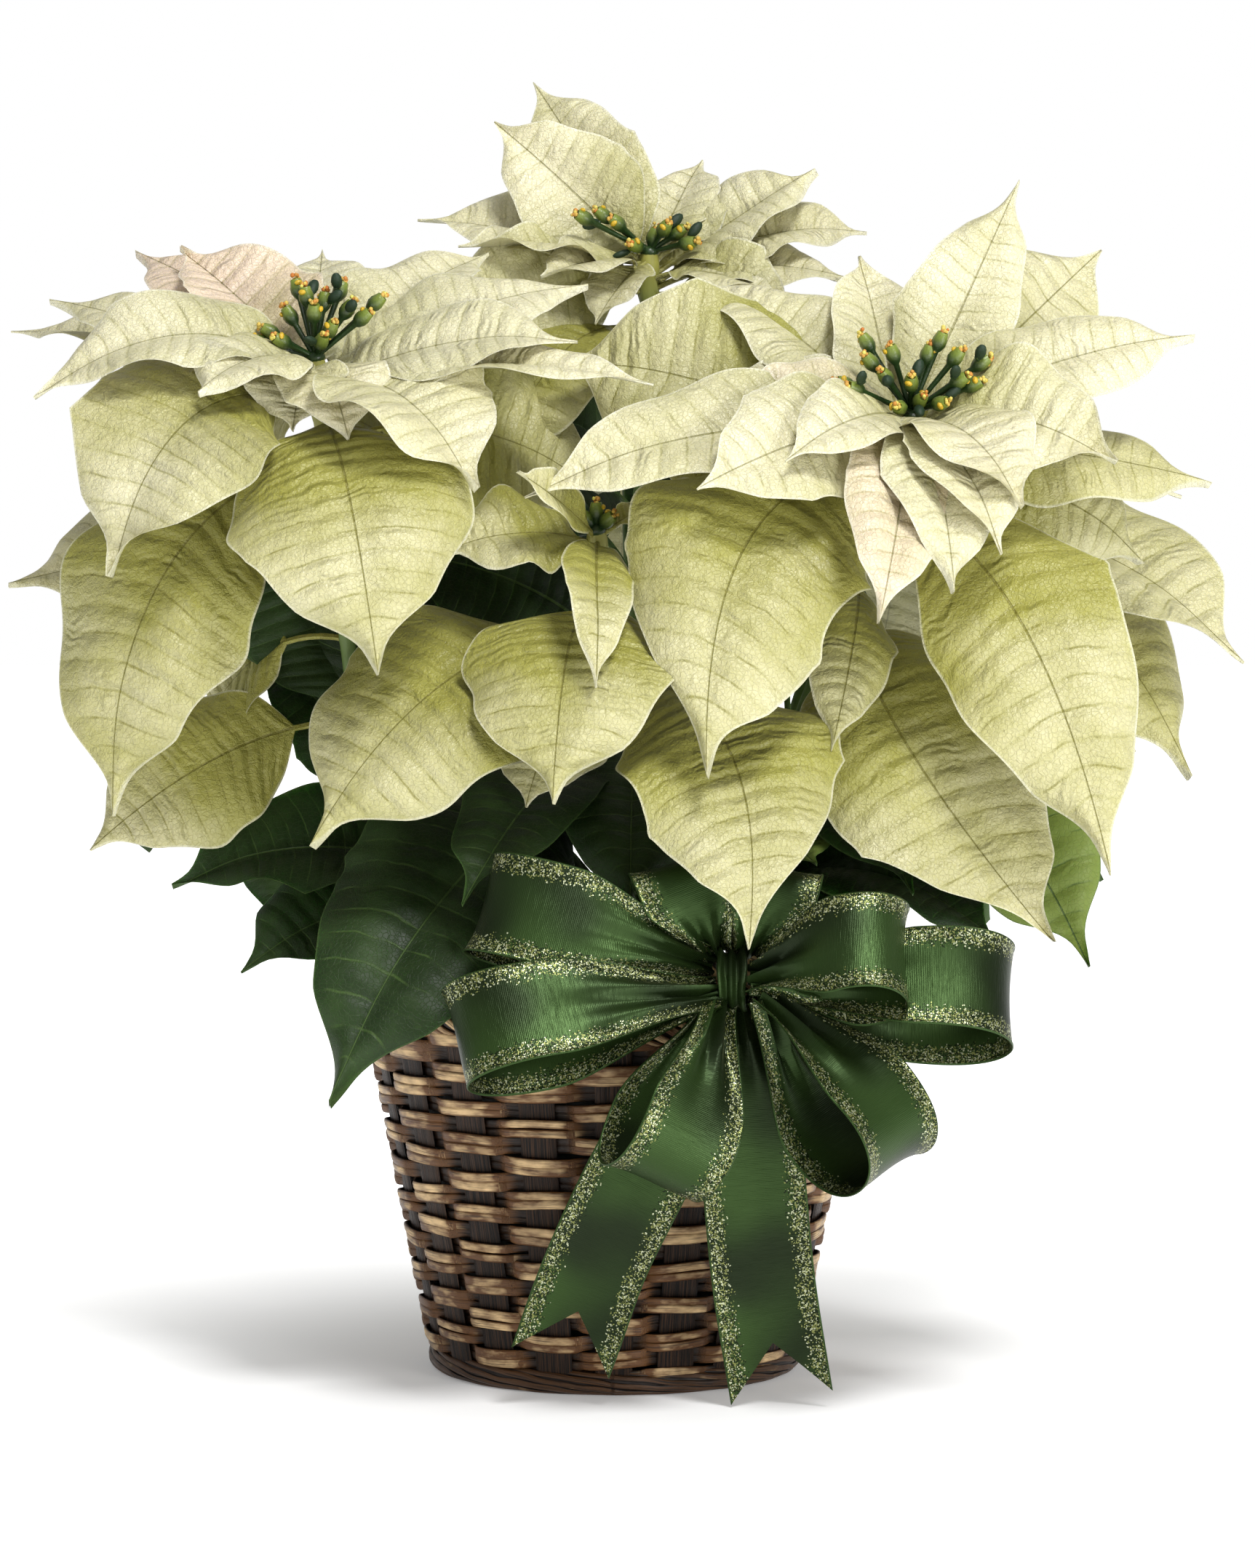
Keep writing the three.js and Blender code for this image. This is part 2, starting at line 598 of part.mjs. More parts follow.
function addPlant(name, plant) {
  const [x, y] = plant.foot;
  const soilTop = soil.crownHeight + 2;
  const start = vec([x, y, soilTop]);
  const paths = [];
  const pieces = [];
  plant.shoots.forEach(([bloomName, from], i) => {
    const bloom = blooms[bloomName];
    const main = i === 0;
    const origin = main ? start : paths[0].getPoint(from);
    const away = main ? vec([0, 0, 1]) : paths[0].getTangent(from);
    const path = shootPath(origin, away, bloom);
    paths.push(path);
    const points = path.getPoints(stem.steps);
    if (main) {
      points.unshift(vec([x, y, soil.crownHeight - soil.holeDepth + gap]));
    }
    const footRadius = main ? stem.footRadius : stem.topRadius * 1.1;
    pieces.push(rod(points, footRadius, stem.topRadius, stem.sides));
  });
  for (const [shoot, place, tipX, tipY, tipZ, arch, width, roll, fold] of plant.leaves) {
    const root = paths[shoot].getPoint(place);
    const tip = vec([tipX, tipY, tipZ]);
    const stalk = 0.26 * root.distanceTo(tip);
    pieces.push(bladeGeometry(root, tip, vec([0, 0, 1]), arch, width, stalk, roll, fold));
  }
  addPart(`plant_${name}`, fuse(pieces), plant.colour, 0.6);
}

// ---------------------------------------------------------------- bow

/** A ribbon loop: out from the knot, round its end and back, narrow where it is tied. */
function bowLoop([dx, dy, dz, wx, wy, wz, length, opening, sx, sy, sz]) {
  const ahead = vec([dx, dy, dz]).normalize();
  const wide = vec([wx, wy, wz]);
  wide.addScaledVector(ahead, -wide.dot(ahead)).normalize();
  const off = new THREE.Vector3().crossVectors(ahead, wide);
  const origin = vec(knot).add(vec([sx, sy, sz])).addScaledVector(ahead, 5);
  const place = (u) => origin.clone()
    .addScaledVector(ahead, (length - 5) * Math.sin(Math.PI * u))
    .addScaledVector(off, (opening / 2) * Math.sin(2 * Math.PI * u));
  const steps = 8;
  const rows = [];
  for (let i = 0; i <= steps; i++) {
    const u = i / steps;
    const tangent = place(Math.min(u + 0.01, 1)).sub(place(Math.max(u - 0.01, 0))).normalize();
    const normal = new THREE.Vector3().crossVectors(wide, tangent).normalize();
    const spread = ribbon.pinch + (1 - ribbon.pinch) * smooth(Math.min(u, 1 - u) / 0.22);
    const half = (ribbon.width / 2) * spread;
    const middle = place(u);
    const points = [-1, 1].map((sign) => middle.clone().addScaledVector(wide, sign * half));
    rows.push({ points, normal, thickness: ribbon.thickness });
  }
  return sheet(rows);
}

/** A ribbon tail: hangs from the knot and ends in a swallow-tail notch. */
function bowTail(list) {
  const path = new THREE.CatmullRomCurve3(list.map(vec));
  const length = path.getLength();
  const steps = 8;
  const rows = [];
  for (let i = 0; i <= steps; i++) {
    const u = i / steps;
    const tangent = path.getTangentAt(u);
    const wide = vec([1, 0, 0]).addScaledVector(tangent, -tangent.x).normalize();
    const normal = new THREE.Vector3().crossVectors(wide, tangent).normalize();
    const spread = ribbon.pinch + (1 - ribbon.pinch) * smooth(u / 0.3);
    const half = (ribbon.width / 2) * spread;
    const middle = path.getPointAt(i === steps ? 1 - ribbon.notch / length : u);
    const outer = path.getPointAt(i === steps ? 1 : u);
    const before = i === steps - 1 ? path.getPointAt(1 - (ribbon.notch * 1.6) / length) : null;
    const centre = before ?? middle;
    const flank = (sign) => (before ?? outer).clone().addScaledVector(wide, sign * half);
    rows.push({ points: [flank(-1), centre, flank(1)], normal, thickness: ribbon.thickness });
  }
  return sheet(rows);
}

function addBow() {
  const heart = new THREE.SphereGeometry(12, 8, 6).scale(1, 0.8, 1.2).translate(...knot);
  addPart('bow_ribbon', fuse([heart, ...bowLoops.map(bowLoop), ...bowTails.map(bowTail)]), 0x1f5a30, 0.4);
}

/** The wire that hangs the bow on the basket's rim. */
function addBowWire() {
  const angle = Math.atan2(knot[0], -knot[1]);
  const outside = basket.rimRadius + basket.rimThickness / 2 + 3;
  const inside = basket.rimRadius - basket.rimThickness / 2 - 2.2;
  const over = basket.height + 3;
  const route = [
    around(angle, outside + 2, knot[2] - 6),
    around(angle, outside, over - 4),
    around(angle, outside - 4, over),
    around(angle, inside + 4, over),
    around(angle, inside, over - 4),
    around(angle, inside - 1, over - 12),
  ];
  addPart('bow_wire', rod(route, 0.9, 0.9, 6), 0x3a4a36, 0.4);
}

// ---------------------------------------------------------------- assembly

addBasket();
addPot();
addSoil();
for (const [name, bloom] of Object.entries(blooms)) {
  addBloom(name, bloom);
}
for (const [name, plant] of Object.entries(plants)) {
  addPlant(name, plant);
}
addBow();
addBowWire();

export default object;
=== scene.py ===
"""A cream poinsettia in a wicker basket with a ribbon bow, dressed over its packed solids.

Lengths are millimetres in this file and become metres in the meshes. +Z is up, -Y is the front,
and the origin is the centre of the basket's underside.
"""

from collections import namedtuple
from functools import reduce

import bpy
import numpy as np
from bpy.props import FloatProperty, FloatVectorProperty, IntProperty, PointerProperty
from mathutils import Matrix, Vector


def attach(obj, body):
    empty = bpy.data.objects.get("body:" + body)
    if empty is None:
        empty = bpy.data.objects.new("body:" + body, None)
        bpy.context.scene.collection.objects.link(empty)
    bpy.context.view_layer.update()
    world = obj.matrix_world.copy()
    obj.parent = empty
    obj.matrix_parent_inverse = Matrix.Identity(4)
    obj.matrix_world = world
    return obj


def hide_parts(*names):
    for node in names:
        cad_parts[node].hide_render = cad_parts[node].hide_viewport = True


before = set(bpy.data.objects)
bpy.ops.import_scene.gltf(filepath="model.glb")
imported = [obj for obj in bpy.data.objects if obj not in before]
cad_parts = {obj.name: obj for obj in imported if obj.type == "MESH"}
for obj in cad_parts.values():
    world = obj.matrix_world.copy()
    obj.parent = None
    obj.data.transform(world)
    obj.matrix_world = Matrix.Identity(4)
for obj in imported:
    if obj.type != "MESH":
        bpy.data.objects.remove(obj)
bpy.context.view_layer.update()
MM = 0.001

bl_info = {
    "name": "Poinsettia in a wicker basket",
    "version": (1, 0, 0),
    "blender": (4, 5, 0),
    "location": "3D View > Sidebar > Poinsettia",
    "description": "Dresses the packed solids of a potted poinsettia with bracts, cane, ribbon and soil",
    "category": "Object",
}

# ---------------------------------------------------------------- the plant's plan

# Blooms. `at` is the top of the shoot, `up` its direction and `core` the length of its bare top.
# `age` tells how far its upper and its hanging bracts have turned from cream to yellow-green. Each
# bract is [tip x, y, z, arch, width, drop, roll, sweep]: `arch` lifts the midrib off the straight
# line, `drop` is how far below the shoot's top the stalk starts, `roll` turns the blade about its
# midrib and `sweep` turns the arch aside, both 0 where left out. Each cup is [x, y, z] from `at`.
BLOOMS = {
    "left": {
        "at": [-117, -52, 405], "up": [-0.1, -0.2, 1], "core": 152, "age": [0, 0.92],
        "bracts": [
            [-124, -84, 378, 6, 30, 1.5], [-102, -92, 376, 8, 34, 2.7],
            [-160, -96, 394, 9, 38, 3.9, -14], [-119, 24, 455, 0, 36, 5.1],
            [-174, -2, 451, 2, 40, 6.3, -10], [-51, 22, 454, 3, 38, 7.5, 16],
            [-195, 22, 455, 3, 36, 8.7, -18], [-52, -106, 356, 20, 72, 15],
            [-10, -12, 438, 8, 54, 11.1, 24], [-226, -70, 391, 24, 50, 12.3, -24],
            [-182, 84, 446, 6, 36, 9.9], [-14, -62, 416, 8, 46, 12.6, 20],
            [-230, 28, 432, 6, 34, 17, -14], [16, -76, 398, 9, 30, 13.8, 10],
            [-252, 78, 422, 8, 36, 18.3, -10], [-194, -100, 322, 32, 88, 20, -24],
            [-89, -130, 286, 28, 94, 22, 3], [-160, 18, 366, 4, 52, 17.5, -60],
            [-72, 10, 360, 4, 56, 19, 60], [-4, -8, 354, 16, 84, 34, 50],
            [-198, -76, 227, 34, 86, 38, -34], [-168, 8, 254, 14, 52, 112, -40],
            [-208, -40, 212, 12, 62, 146, -56],
        ],
        "cups": [
            [-21, -4, 14], [-16, -10, 10], [-12, 0, 22], [-4, -4, 30], [0, -10, 23], [4, 0, 28],
            [8, -8, 16], [15, -2, 24], [22, -6, 20], [-26, -6, 9], [27, -4, 26], [11, 3, 32],
            [-8, 2, 33], [4, -9, 11],
        ],
    },
    "top": {
        "at": [14, 48, 449], "up": [0.02, -0.1, 1], "core": 40, "age": [0.2, 1],
        "bracts": [
            [-8, 14, 421, 3, 22, 1.5], [36, 92, 492, 0, 30, 2.7], [-30, 14, 440, 4, 26, 3.9, -14],
            [48, 88, 484, 0, 32, 5.1], [-50, 60, 505, 2, 46, 6.3, -70],
            [-35, 96, 524, 2, 36, 7.5, -50], [82, 56, 486, 0, 38, 8.7, 24],
            [66, 14, 432, 6, 28, 9.9, 20], [-64, 34, 454, 6, 34, 12.6, -10],
            [-82, 70, 466, 6, 40, 12.3, -22], [104, 58, 462, 8, 40, 13.5, 24],
            [96, 32, 440, 8, 32, 14.7, 20], [10, 124, 470, 8, 44, 15.9],
            [-70, 24, 424, 6, 60, 15.2, -60], [70, 10, 414, 8, 48, 17, 56],
            [-46, -14, 366, 20, 68, 32, -10],
        ],
        "cups": [
            [-30, -14, 17], [-22, -7, 19], [-16, -8, 16], [-8, -12, 5], [3, -2, 12], [8, -10, 14],
            [15, -4, 12], [19, -12, 6],
        ],
    },
    "right": {
        "at": [115, -62, 384], "up": [0.3, -0.72, 1], "core": 96, "age": [0.08, 0.8],
        "bracts": [
            [100, -140, 307, 12, 34, 4.5], [129, -130, 318, 10, 34, 1.5],
            [65, -120, 369, 10, 28, 3.9], [148, -124, 333, 12, 34, 7], [161, -14, 478, -4, 35, 6.3],
            [46, -72, 397, 6, 24, 6, -6], [156, -116, 350, 16, 54, 11],
            [229, -42, 417, 10, 38, 9.9, 6], [98, -12, 449, -2, 38, 9],
            [31, -120, 356, 14, 56, 15, -18], [-36, -100, 356, 18, 48, 16, -10],
            [45, -54, 402, 6, 24, 14.7, -8], [194, -86, 366, 18, 60, 16.5, 18],
            [33, -10, 441, 9, 36, 15.9, -8], [198, 22, 452, 4, 76, 20, 28],
            [-24, -26, 408, 13, 90, 30, -34], [236, -36, 357, 10, 36, 21.5, 10],
            [214, -26, 326, 19, 54, 35, 34], [35, -138, 248, 36, 92, 25, 0, 55],
            [190, -114, 208, 32, 76, 40, 30], [171, -88, 180, 30, 90, 90, 24, 60],
            [84, -98, 256, 16, 26, 80],
        ],
        "cups": [
            [-29, -8, 14], [-25, -21, 12], [-19, -4, 32], [-12, -14, 18], [-6, -20, 4],
            [0, -14, 16], [8, -4, 28], [14, -16, 6], [20, -10, 26], [28, -8, 14], [-18, -10, 24],
            [5, -12, 8], [13, -6, 33], [22, -12, 16], [-8, -8, 28], [31, -4, 23],
        ],
    },
    "middle": {
        "at": [-7, -62, 338], "up": [-0.1, -0.4, 1], "core": 70, "age": [0.75, 0.9],
        "bracts": [
            [14, -64, 350, 0, 16, 1.5], [-37, -116, 363, 2, 16, 2.7, -64],
            [-5, -138, 284, 12, 22, 4, -25], [-66, -84, 333, 6, 40, 5.5, -16],
            [-23, -134, 237, 30, 86, 36], [-118, -104, 219, 28, 98, 48, -16],
            [-34, -80, 232, 14, 44, 58], [52, -150, 186, 30, 84, 64, 0, -45],
        ],
        "cups": [[-7, -4, 9], [0, -2, 13], [7, -6, 8]],
    },
    "back_left": {
        "at": [-105, 75, 352], "up": [-0.45, 0.5, 1], "core": 50, "age": [0.45, 1],
        "bracts": [
            [-62, 132, 410, 4, 42, 5], [-86, 186, 364, 12, 52, 8], [-206, 118, 372, 12, 50, 9],
            [-170, 172, 346, 10, 56, 19], [-246, 14, 318, 2, 104, 16, -66],
            [-100, 200, 250, 30, 84, 26], [-190, 158, 258, 30, 80, 30], [-222, 70, 246, 26, 70, 36],
        ],
        "cups": [[-12, -3, 12], [-6, 3, 16], [2, -4, 14]],
    },
    "back_right": {
        "at": [118, 82, 362], "up": [0.5, 0.45, 1], "core": 50, "age": [0.45, 1],
        "bracts": [
            [78, 112, 424, 4, 44, 5], [72, 152, 400, 10, 42, 7], [240, 112, 352, 12, 52, 9],
            [112, 196, 356, 10, 52, 16], [200, 178, 326, 14, 58, 29], [256, 2, 290, 16, 88, 18, 55],
            [108, 204, 246, 30, 78, 28], [224, 142, 240, 28, 72, 44],
            [237, 12, 241, 26, 84, 34, 60],
        ],
        "cups": [[2, -3, 14], [8, 3, 15], [14, 6, 11]],
    },
    "back": {
        "at": [6, 132, 386], "up": [0, 0.55, 1], "core": 46, "age": [0.4, 1],
        "bracts": [
            [72, 222, 380, 12, 52, 3], [72, 168, 430, 4, 40, 6], [-62, 176, 426, 4, 40, 9],
            [-64, 220, 382, 12, 52, 12], [4, 246, 354, 16, 62, 15], [0, 222, 254, 30, 86, 30],
        ],
        "cups": [[-7, -1, 14], [0, 4, 17], [7, -2, 14]],
    },
}

# Rooted plants. `foot` is where the stem stands in the soil. `shoots` lists the blooms that the
# plant carries, the first on the stem itself and the others on branches that leave it at a place
# from 0, its foot, to 1, its top. Each leaf is [shoot, place on it, tip x, y, z, arch, width,
# roll, young], `young` from 0 to 1 for the light green of a new leaf, both 0 where left out.
PLANTS = {
    "left": {
        "foot": [-34, -6], "shoots": [["left", 0], ["back_left", 0.32]],
        "leaves": [
            [0, 0.26, -148, -54, 166, 22, 68, -34], [0, 0.5, -150, -10, 290, 12, 56, -60],
            [1, 0.5, -122, 44, 322, 14, 60, -60], [0, 0.86, -160, 4, 350, 12, 62, -70],
            [0, 0.8, -82, -18, 350, 12, 56, 60], [0, 0.4, -177, -34, 200, 18, 56, -40],
            [1, 0.3, -150, 110, 170, 24, 74], [1, 0.6, -196, 52, 206, 24, 66],
            [1, 0.8, -46, 160, 296, 18, 48],
        ],
    },
    "centre": {
        "foot": [6, 24], "shoots": [["top", 0], ["middle", 0.26], ["back", 0.34]],
        "leaves": [
            [0, 0.32, -110, -126, 128, 28, 90, -28], [0, 0.7, -38, -16, 352, 12, 46, -60],
            [0, 0.45, -95, 10, 330, 16, 74, -65], [0, 0.75, -76, 30, 392, 12, 60, -60],
            [0, 0.2, -44, -56, 236, 16, 56, -50], [0, 0.24, 38, -60, 226, 16, 56, 50],
            [0, 0.12, 50, -66, 196, 16, 58, 50], [0, 0.16, -62, -60, 190, 16, 58, -50],
            [0, 0.42, 6, -104, 196, 18, 64], [0, 0.38, 64, -88, 198, 18, 60],
            [0, 0.85, 70, 62, 412, 10, 54, 50], [0, 0.8, -50, 84, 408, 10, 54, -50],
            [2, 0.6, 64, 116, 362, 12, 60, 50], [2, 0.66, -62, 120, 356, 12, 60, -50],
            [0, 0.62, 46, -28, 330, 12, 48, 60], [0, 0.3, -84, 78, 190, 20, 72],
            [0, 0.34, 92, 76, 196, 20, 70], [2, 0.3, 46, 180, 172, 26, 76],
            [2, 0.5, -64, 190, 200, 26, 76], [1, 0.3, -58, -118, 196, 22, 52, -10],
        ],
    },
    "right": {
        "foot": [46, -4], "shoots": [["right", 0], ["back_right", 0.32]],
        "leaves": [
            [0, 0.22, 78, -92, 214, 18, 44, 10, 0.8], [0, 0.2, 128, -34, 208, 16, 56, 50],
            [1, 0.4, 102, 44, 330, 14, 60, 55], [0, 0.26, 150, -62, 178, 22, 62, 14],
            [0, 0.44, 117, -88, 202, 20, 58, 10], [0, 0.6, 187, -62, 168, 30, 68, 50, 1.0],
            [1, 0.3, 160, 108, 172, 24, 76], [1, 0.6, 206, 40, 196, 24, 66],
        ],
    },
}

# Bow. Each loop is [direction x, y, z, width axis x, y, z, length, opening, shift x, y, z] from
# the knot. Each tail lists the points of its middle line, from the knot to its end.
KNOT = [45, -115, 169]
LOOPS = [
    [-1, -0.15, -0.16, -0.22, 0.5, 1, 108, 36, 0, -4, -4],
    [-0.95, -0.05, 0.26, 0.42, 0.3, 1, 98, 30, -2, 3, 4],
    [-0.4, 0.1, 1, 1, 0.1, 0.4, 46, 20, -4, 3, 4], [0.3, 0.15, 1, 1, 0.0, -0.3, 42, 18, 4, 3, 4],
    [0.92, -0.3, 0.2, 0.05, 0.52, 1, 68, 36, 2, -4, 0],
    [1, -0.05, -0.02, 0.02, 0.5, 1, 106, 46, 2, 6, -5],
    [0.6, -0.18, -0.78, 0.76, 0.56, 0.2, 88, 42, 9, -5, -2],
    [-0.35, -0.34, -0.9, 0.84, 0.34, -0.4, 80, 36, -3, -4, -4],
]
TAILS = [
    [[42, -114, 162], [30, -114, 132], [13, -114, 100], [-6, -108, 60], [-21, -101, 18]],
    [[47, -114, 162], [51, -112, 128], [54, -108, 88], [58, -104, 48], [65, -99, 4]],
]

BASKET = {"foot": 71.5, "rim": 98, "wall_top": 140, "height": 159, "base": 5}
POT = {"foot": 58, "top": 83, "lip": 86.5, "lip_height": 6, "wall": 1.6, "height": 138, "floor": 5.4}
SOIL = {"edge": 121, "crown": 126, "hole": 32}

# Blades: the share of the length where they are widest, and where their arch is highest, the step
# between rows of points, and the slope of a leaf's halves.
WIDEST = 0.42
ARCHED_AT = 0.38
ROW_STEP = 1.9
LEAF_FOLD = 0.12

# Stems: radius of a bare shoot under its cups, and of a stem at its top and in the soil.
CORE_RADIUS = 3.6
STEM_TOP_RADIUS = 3.1
STEM_FOOT_RADIUS = 4.6

# Wicker: strands of a rolled border, spacing of the base's coils, points from stake to stake, and
# heights: where a cane starts and ends its full swing, grows calm, and may not rise above.
STRANDS = 9
COIL = 4.6
STEPS = 10
SWING_FROM, SWING_TO, CALM_FROM, CANE_TOP = 8, 145, 126, 148

# The knot's turn of ribbon: its gathered width, the width it was cut to, and its half depth and
# half height.
KNOT_WIDTH, KNOT_CUT, KNOT_DEPTH, KNOT_HEIGHT = 11, 16, 9.0, 11.5

CHIPS = 420

# Lamps, in metres: name, place and size. Both look at LIT.
LAMPS = [("key", (0.5, -1.2, 1.95), 0.5), ("fill", (1.3, -1.7, 0.45), 0.6)]
LIT = (0, 0, 0.3)


# ---------------------------------------------------------------- properties


def length(name, description, millimetres):
    """A property for a length, kept in metres."""
    return FloatProperty(
        name=name, description=description, default=millimetres * MM, min=0, unit="LENGTH", precision=5
    )


def number(name, description, default, **limits):
    """A property for a plain number."""
    return FloatProperty(name=name, description=description, default=default, **limits)


def linear(red, green, blue):
    """Display colour to linear colour: ((c + 0.055) / 1.055)^2.4."""
    return tuple(((c + 0.055) / 1.055) ** 2.4 for c in (red, green, blue))


def colour(name, description, *shown):
    """A property for a colour, given as it shows on a display."""
    return FloatVectorProperty(
        name=name, description=description, default=linear(*shown), min=0, max=1, size=3, subtype="COLOR"
    )


class BladeSettings(bpy.types.PropertyGroup):
    """Sizes and colours of bracts and leaves."""

    thickness: length("Thickness", "Thickness of a bract or leaf", 0.7)
    stalk_width: length("Stalk width", "Width of a bract's or leaf's stalk", 2.6)
    midrib: length("Midrib", "How far the midrib stands out under a blade", 0.9)
    vein_pairs: IntProperty(name="Vein pairs", description="Side veins on each half", default=13, min=3)
    puff: number("Puff", "Bulge between veins over the blade's width", 0.009)
    wave: number("Wave", "Waves of the margin over the blade's width", 0.055)
    cream: colour("Cream", "Young bract", 0.872, 0.850, 0.712)
    olive: colour("Olive", "Base of a bract, and an old bract", 0.605, 0.594, 0.285)
    bract_vein: colour("Bract vein", "Veins of a bract", 0.47, 0.45, 0.17)
    blush: colour("Blush", "Tint of the innermost bracts", 0.92, 0.82, 0.74)
    green: colour("Green", "Upper side of a leaf", 0.085, 0.14, 0.062)
    pale_green: colour("Pale green", "Under side and young edge of a leaf", 0.25, 0.34, 0.17)
    leaf_vein: colour("Leaf vein", "Veins of a leaf", 0.26, 0.34, 0.17)
    stem: colour("Stem", "Green stem", 0.36, 0.46, 0.22)
    bark: colour("Bark", "Woody foot of the stem", 0.42, 0.34, 0.22)


class CupSettings(bpy.types.PropertyGroup):
    """Sizes and colours of the flower cups."""

    length: length("Length", "Length of a cup", 8.5)
    radius: length("Radius", "Largest radius of a cup", 3.0)
    stalk: length("Stalk", "Radius of a cup's stalk", 1.0)
    green: colour("Green", "Body of a cup", 0.13, 0.22, 0.085)
    lip: colour("Lip", "Mouth of a cup", 0.46, 0.52, 0.20)
    pollen: colour("Pollen", "Stamens", 0.74, 0.40, 0.12)
    bud: colour("Bud", "Seed bud beside a cup", 0.07, 0.17, 0.08)


class BasketSettings(bpy.types.PropertyGroup):
    """Sizes and colours of the wicker."""

    stakes: IntProperty(name="Stakes", description="Upright stakes, an odd number", default=19, min=9)
    stake_width: length("Stake width", "Width of a stake", 15)
    stake_thickness: length("Stake thickness", "Thickness of a stake", 1.6)
    rows: IntProperty(name="Rows", description="Rows of woven cane", default=17, min=4)
    weave_foot: length("Weave foot", "Where the weaving starts", 10.8)
    swing: length("Swing", "How far a cane passes outside or inside the wall", 2.5)
    cane_thickness: length("Cane thickness", "Thickness of a woven cane", 1.7)
    # Stain: also the painted shade in the crevices between canes and behind the stakes.
    dark: colour("Stain", "Stain between and along the canes", 0.085, 0.05, 0.028)
    tan: colour("Tan", "Stained cane", 0.39, 0.255, 0.13)
    # Pale cane: also a painted highlight on the crowns that face out.
    pale: colour("Pale cane", "Worn crown of a cane", 0.90, 0.77, 0.57)
    stake_dark: colour("Stake dark", "Furrows of a stake", 0.06, 0.037, 0.024)
    stake_pale: colour("Stake pale", "Fibres of a stake", 0.27, 0.18, 0.11)


class BowSettings(bpy.types.PropertyGroup):
    """Sizes and colours of the ribbon."""

    width: length("Width", "Width of the ribbon", 40)
    thickness: length("Thickness", "Thickness of the ribbon", 0.5)
    wire: length("Edge wire", "Thickness of the wired edge", 1.0)
    band: length("Glitter band", "Width of the glitter along each edge", 7.5)
    notch: length("Notch", "Depth of a tail's notch", 22)
    pinch: number("Pinch", "Share of the width left at the knot", 0.32)
    # Satin and Satin in folds are also the painted light and painted shade of the ribbon's slow patches; Satin in
    # folds colours the dark glitter flakes too.
    satin: colour("Satin", "Ribbon", 0.19, 0.275, 0.12)
    satin_dark: colour("Satin in folds", "Ribbon where it is dull", 0.105, 0.15, 0.065)
    gold: colour("Gold flake", "Warm glitter", 0.50, 0.52, 0.30)
    silver: colour("Silver flake", "Cold glitter", 0.72, 0.74, 0.61)


class PotSettings(bpy.types.PropertyGroup):
    """Colours of the grower pot, the potting mix and the wire."""

    plastic: colour("Plastic", "Grower pot", 0.10, 0.13, 0.10)
    peat: colour("Peat", "Damp potting mix", 0.15, 0.10, 0.07)
    bark: colour("Bark chips", "Chips in the potting mix", 0.33, 0.23, 0.15)
    perlite: colour("Perlite", "White grains in the potting mix", 0.88, 0.87, 0.83)
    wire: colour("Wire", "Painted wire of the bow", 0.16, 0.26, 0.16)


class StageSettings(bpy.types.PropertyGroup):
    """Floor, lights and camera."""

    floor: length("Floor", "Side of the pale floor", 12000)
    floor_colour: colour("Floor colour", "Pale floor", 0.97, 0.97, 0.97)
    distance: length("Camera distance", "From the camera to the basket's axis", 2200)
    height: length("Camera height", "Height of the camera", 388)
    side: length("Camera side", "How far right of the axis the camera stands", 5.1)
    aim: length("Aim", "Height at the middle of the picture", 236)
    view_height: length("View height", "Height that the picture spans at the axis", 630.8)
    sky: number("Sky", "Strength of the white surroundings", 0.38)
    key: number("Key light", "Power of the key light", 33.5, unit="POWER")
    fill: number("Fill light", "Power of the fill light", 16, unit="POWER")


SETTINGS = {
    "poinsettia_blades": BladeSettings,
    "poinsettia_cups": CupSettings,
    "poinsettia_basket": BasketSettings,
    "poinsettia_bow": BowSettings,
    "poinsettia_pot": PotSettings,
    "poinsettia_stage": StageSettings,
}


def chosen(group):
    """The scene's settings for the blades, cups, basket, bow, pot or stage."""
    return getattr(bpy.context.scene, "poinsettia_" + group)


# ---------------------------------------------------------------- surfaces

# points (n, 3) in mm, faces (m, 4) with -1 for a triangle's fourth corner, values: name to (n, 3),
# finish: the material's place in the piece.
Shape = namedtuple("Shape", "points faces values finish")


def unit(vectors):
    """Each vector over its length."""
    return vectors / np.linalg.norm(vectors, axis=-1, keepdims=True)


def smooth(x):
    """A step from 0 to 1 with level ends: x^2 (3 - 2x)."""
    x = np.clip(x, 0, 1)
    return x * x * (3 - 2 * x)


def across(vectors, axis):
    """The unit part of each vector at right angles to its axis."""
    return unit(vectors - axis * np.sum(vectors * axis, axis=-1, keepdims=True))


def turned(vectors, axis, degrees):
    """Vectors turned about unit axes: v cos a + (k x v) sin a + k (k.v) (1 - cos a)."""
    a = np.radians(degrees)
    along = axis * np.sum(vectors * axis, axis=-1, keepdims=True)
    return vectors * np.cos(a) + np.cross(axis, vectors) * np.sin(a) + along * (1 - np.cos(a))


def bezier(points, t):
    """The curve of 3 or 4 control points at t, and its unit direction."""
    t = np.asarray(t, float)[..., None]
    hull = [np.asarray(q, float) for q in points]
    while len(hull) > 2:
        hull = [a * (1 - t) + b * t for a, b in zip(hull, hull[1:])]
    return hull[0] * (1 - t) + hull[1] * t, unit(hull[1] - hull[0])


def spline(points, count):
    """A smooth curve through points (Catmull-Rom), resampled to equal steps of length."""
    ends = np.concatenate([[2 * points[0] - points[1]], points, [2 * points[-1] - points[-2]]])
    t = np.linspace(0, 1, 40, endpoint=False)[:, None]
    parts = []
    for a, b, c, d in zip(ends, ends[1:], ends[2:], ends[3:]):
        parts.append(0.5 * (2 * b + (c - a) * t + (2 * a - 5 * b + 4 * c - d) * t**2 + (3 * b - a - 3 * c + d) * t**3))
    dense = np.concatenate(parts + [points[-1:]])
    run = np.concatenate([[0], np.cumsum(np.linalg.norm(np.diff(dense, axis=0), axis=1))])
    at = np.linspace(0, run[-1], count)
    return np.stack([np.interp(at, run, dense[:, k]) for k in range(3)], -1)


def circle(sides):
    """Angles at equal steps round a full turn."""
    return 2 * np.pi * np.arange(sides) / sides


def spoke(angle, right, up):
    """cos(angle) right + sin(angle) up."""
    return np.cos(angle) * right + np.sin(angle) * up


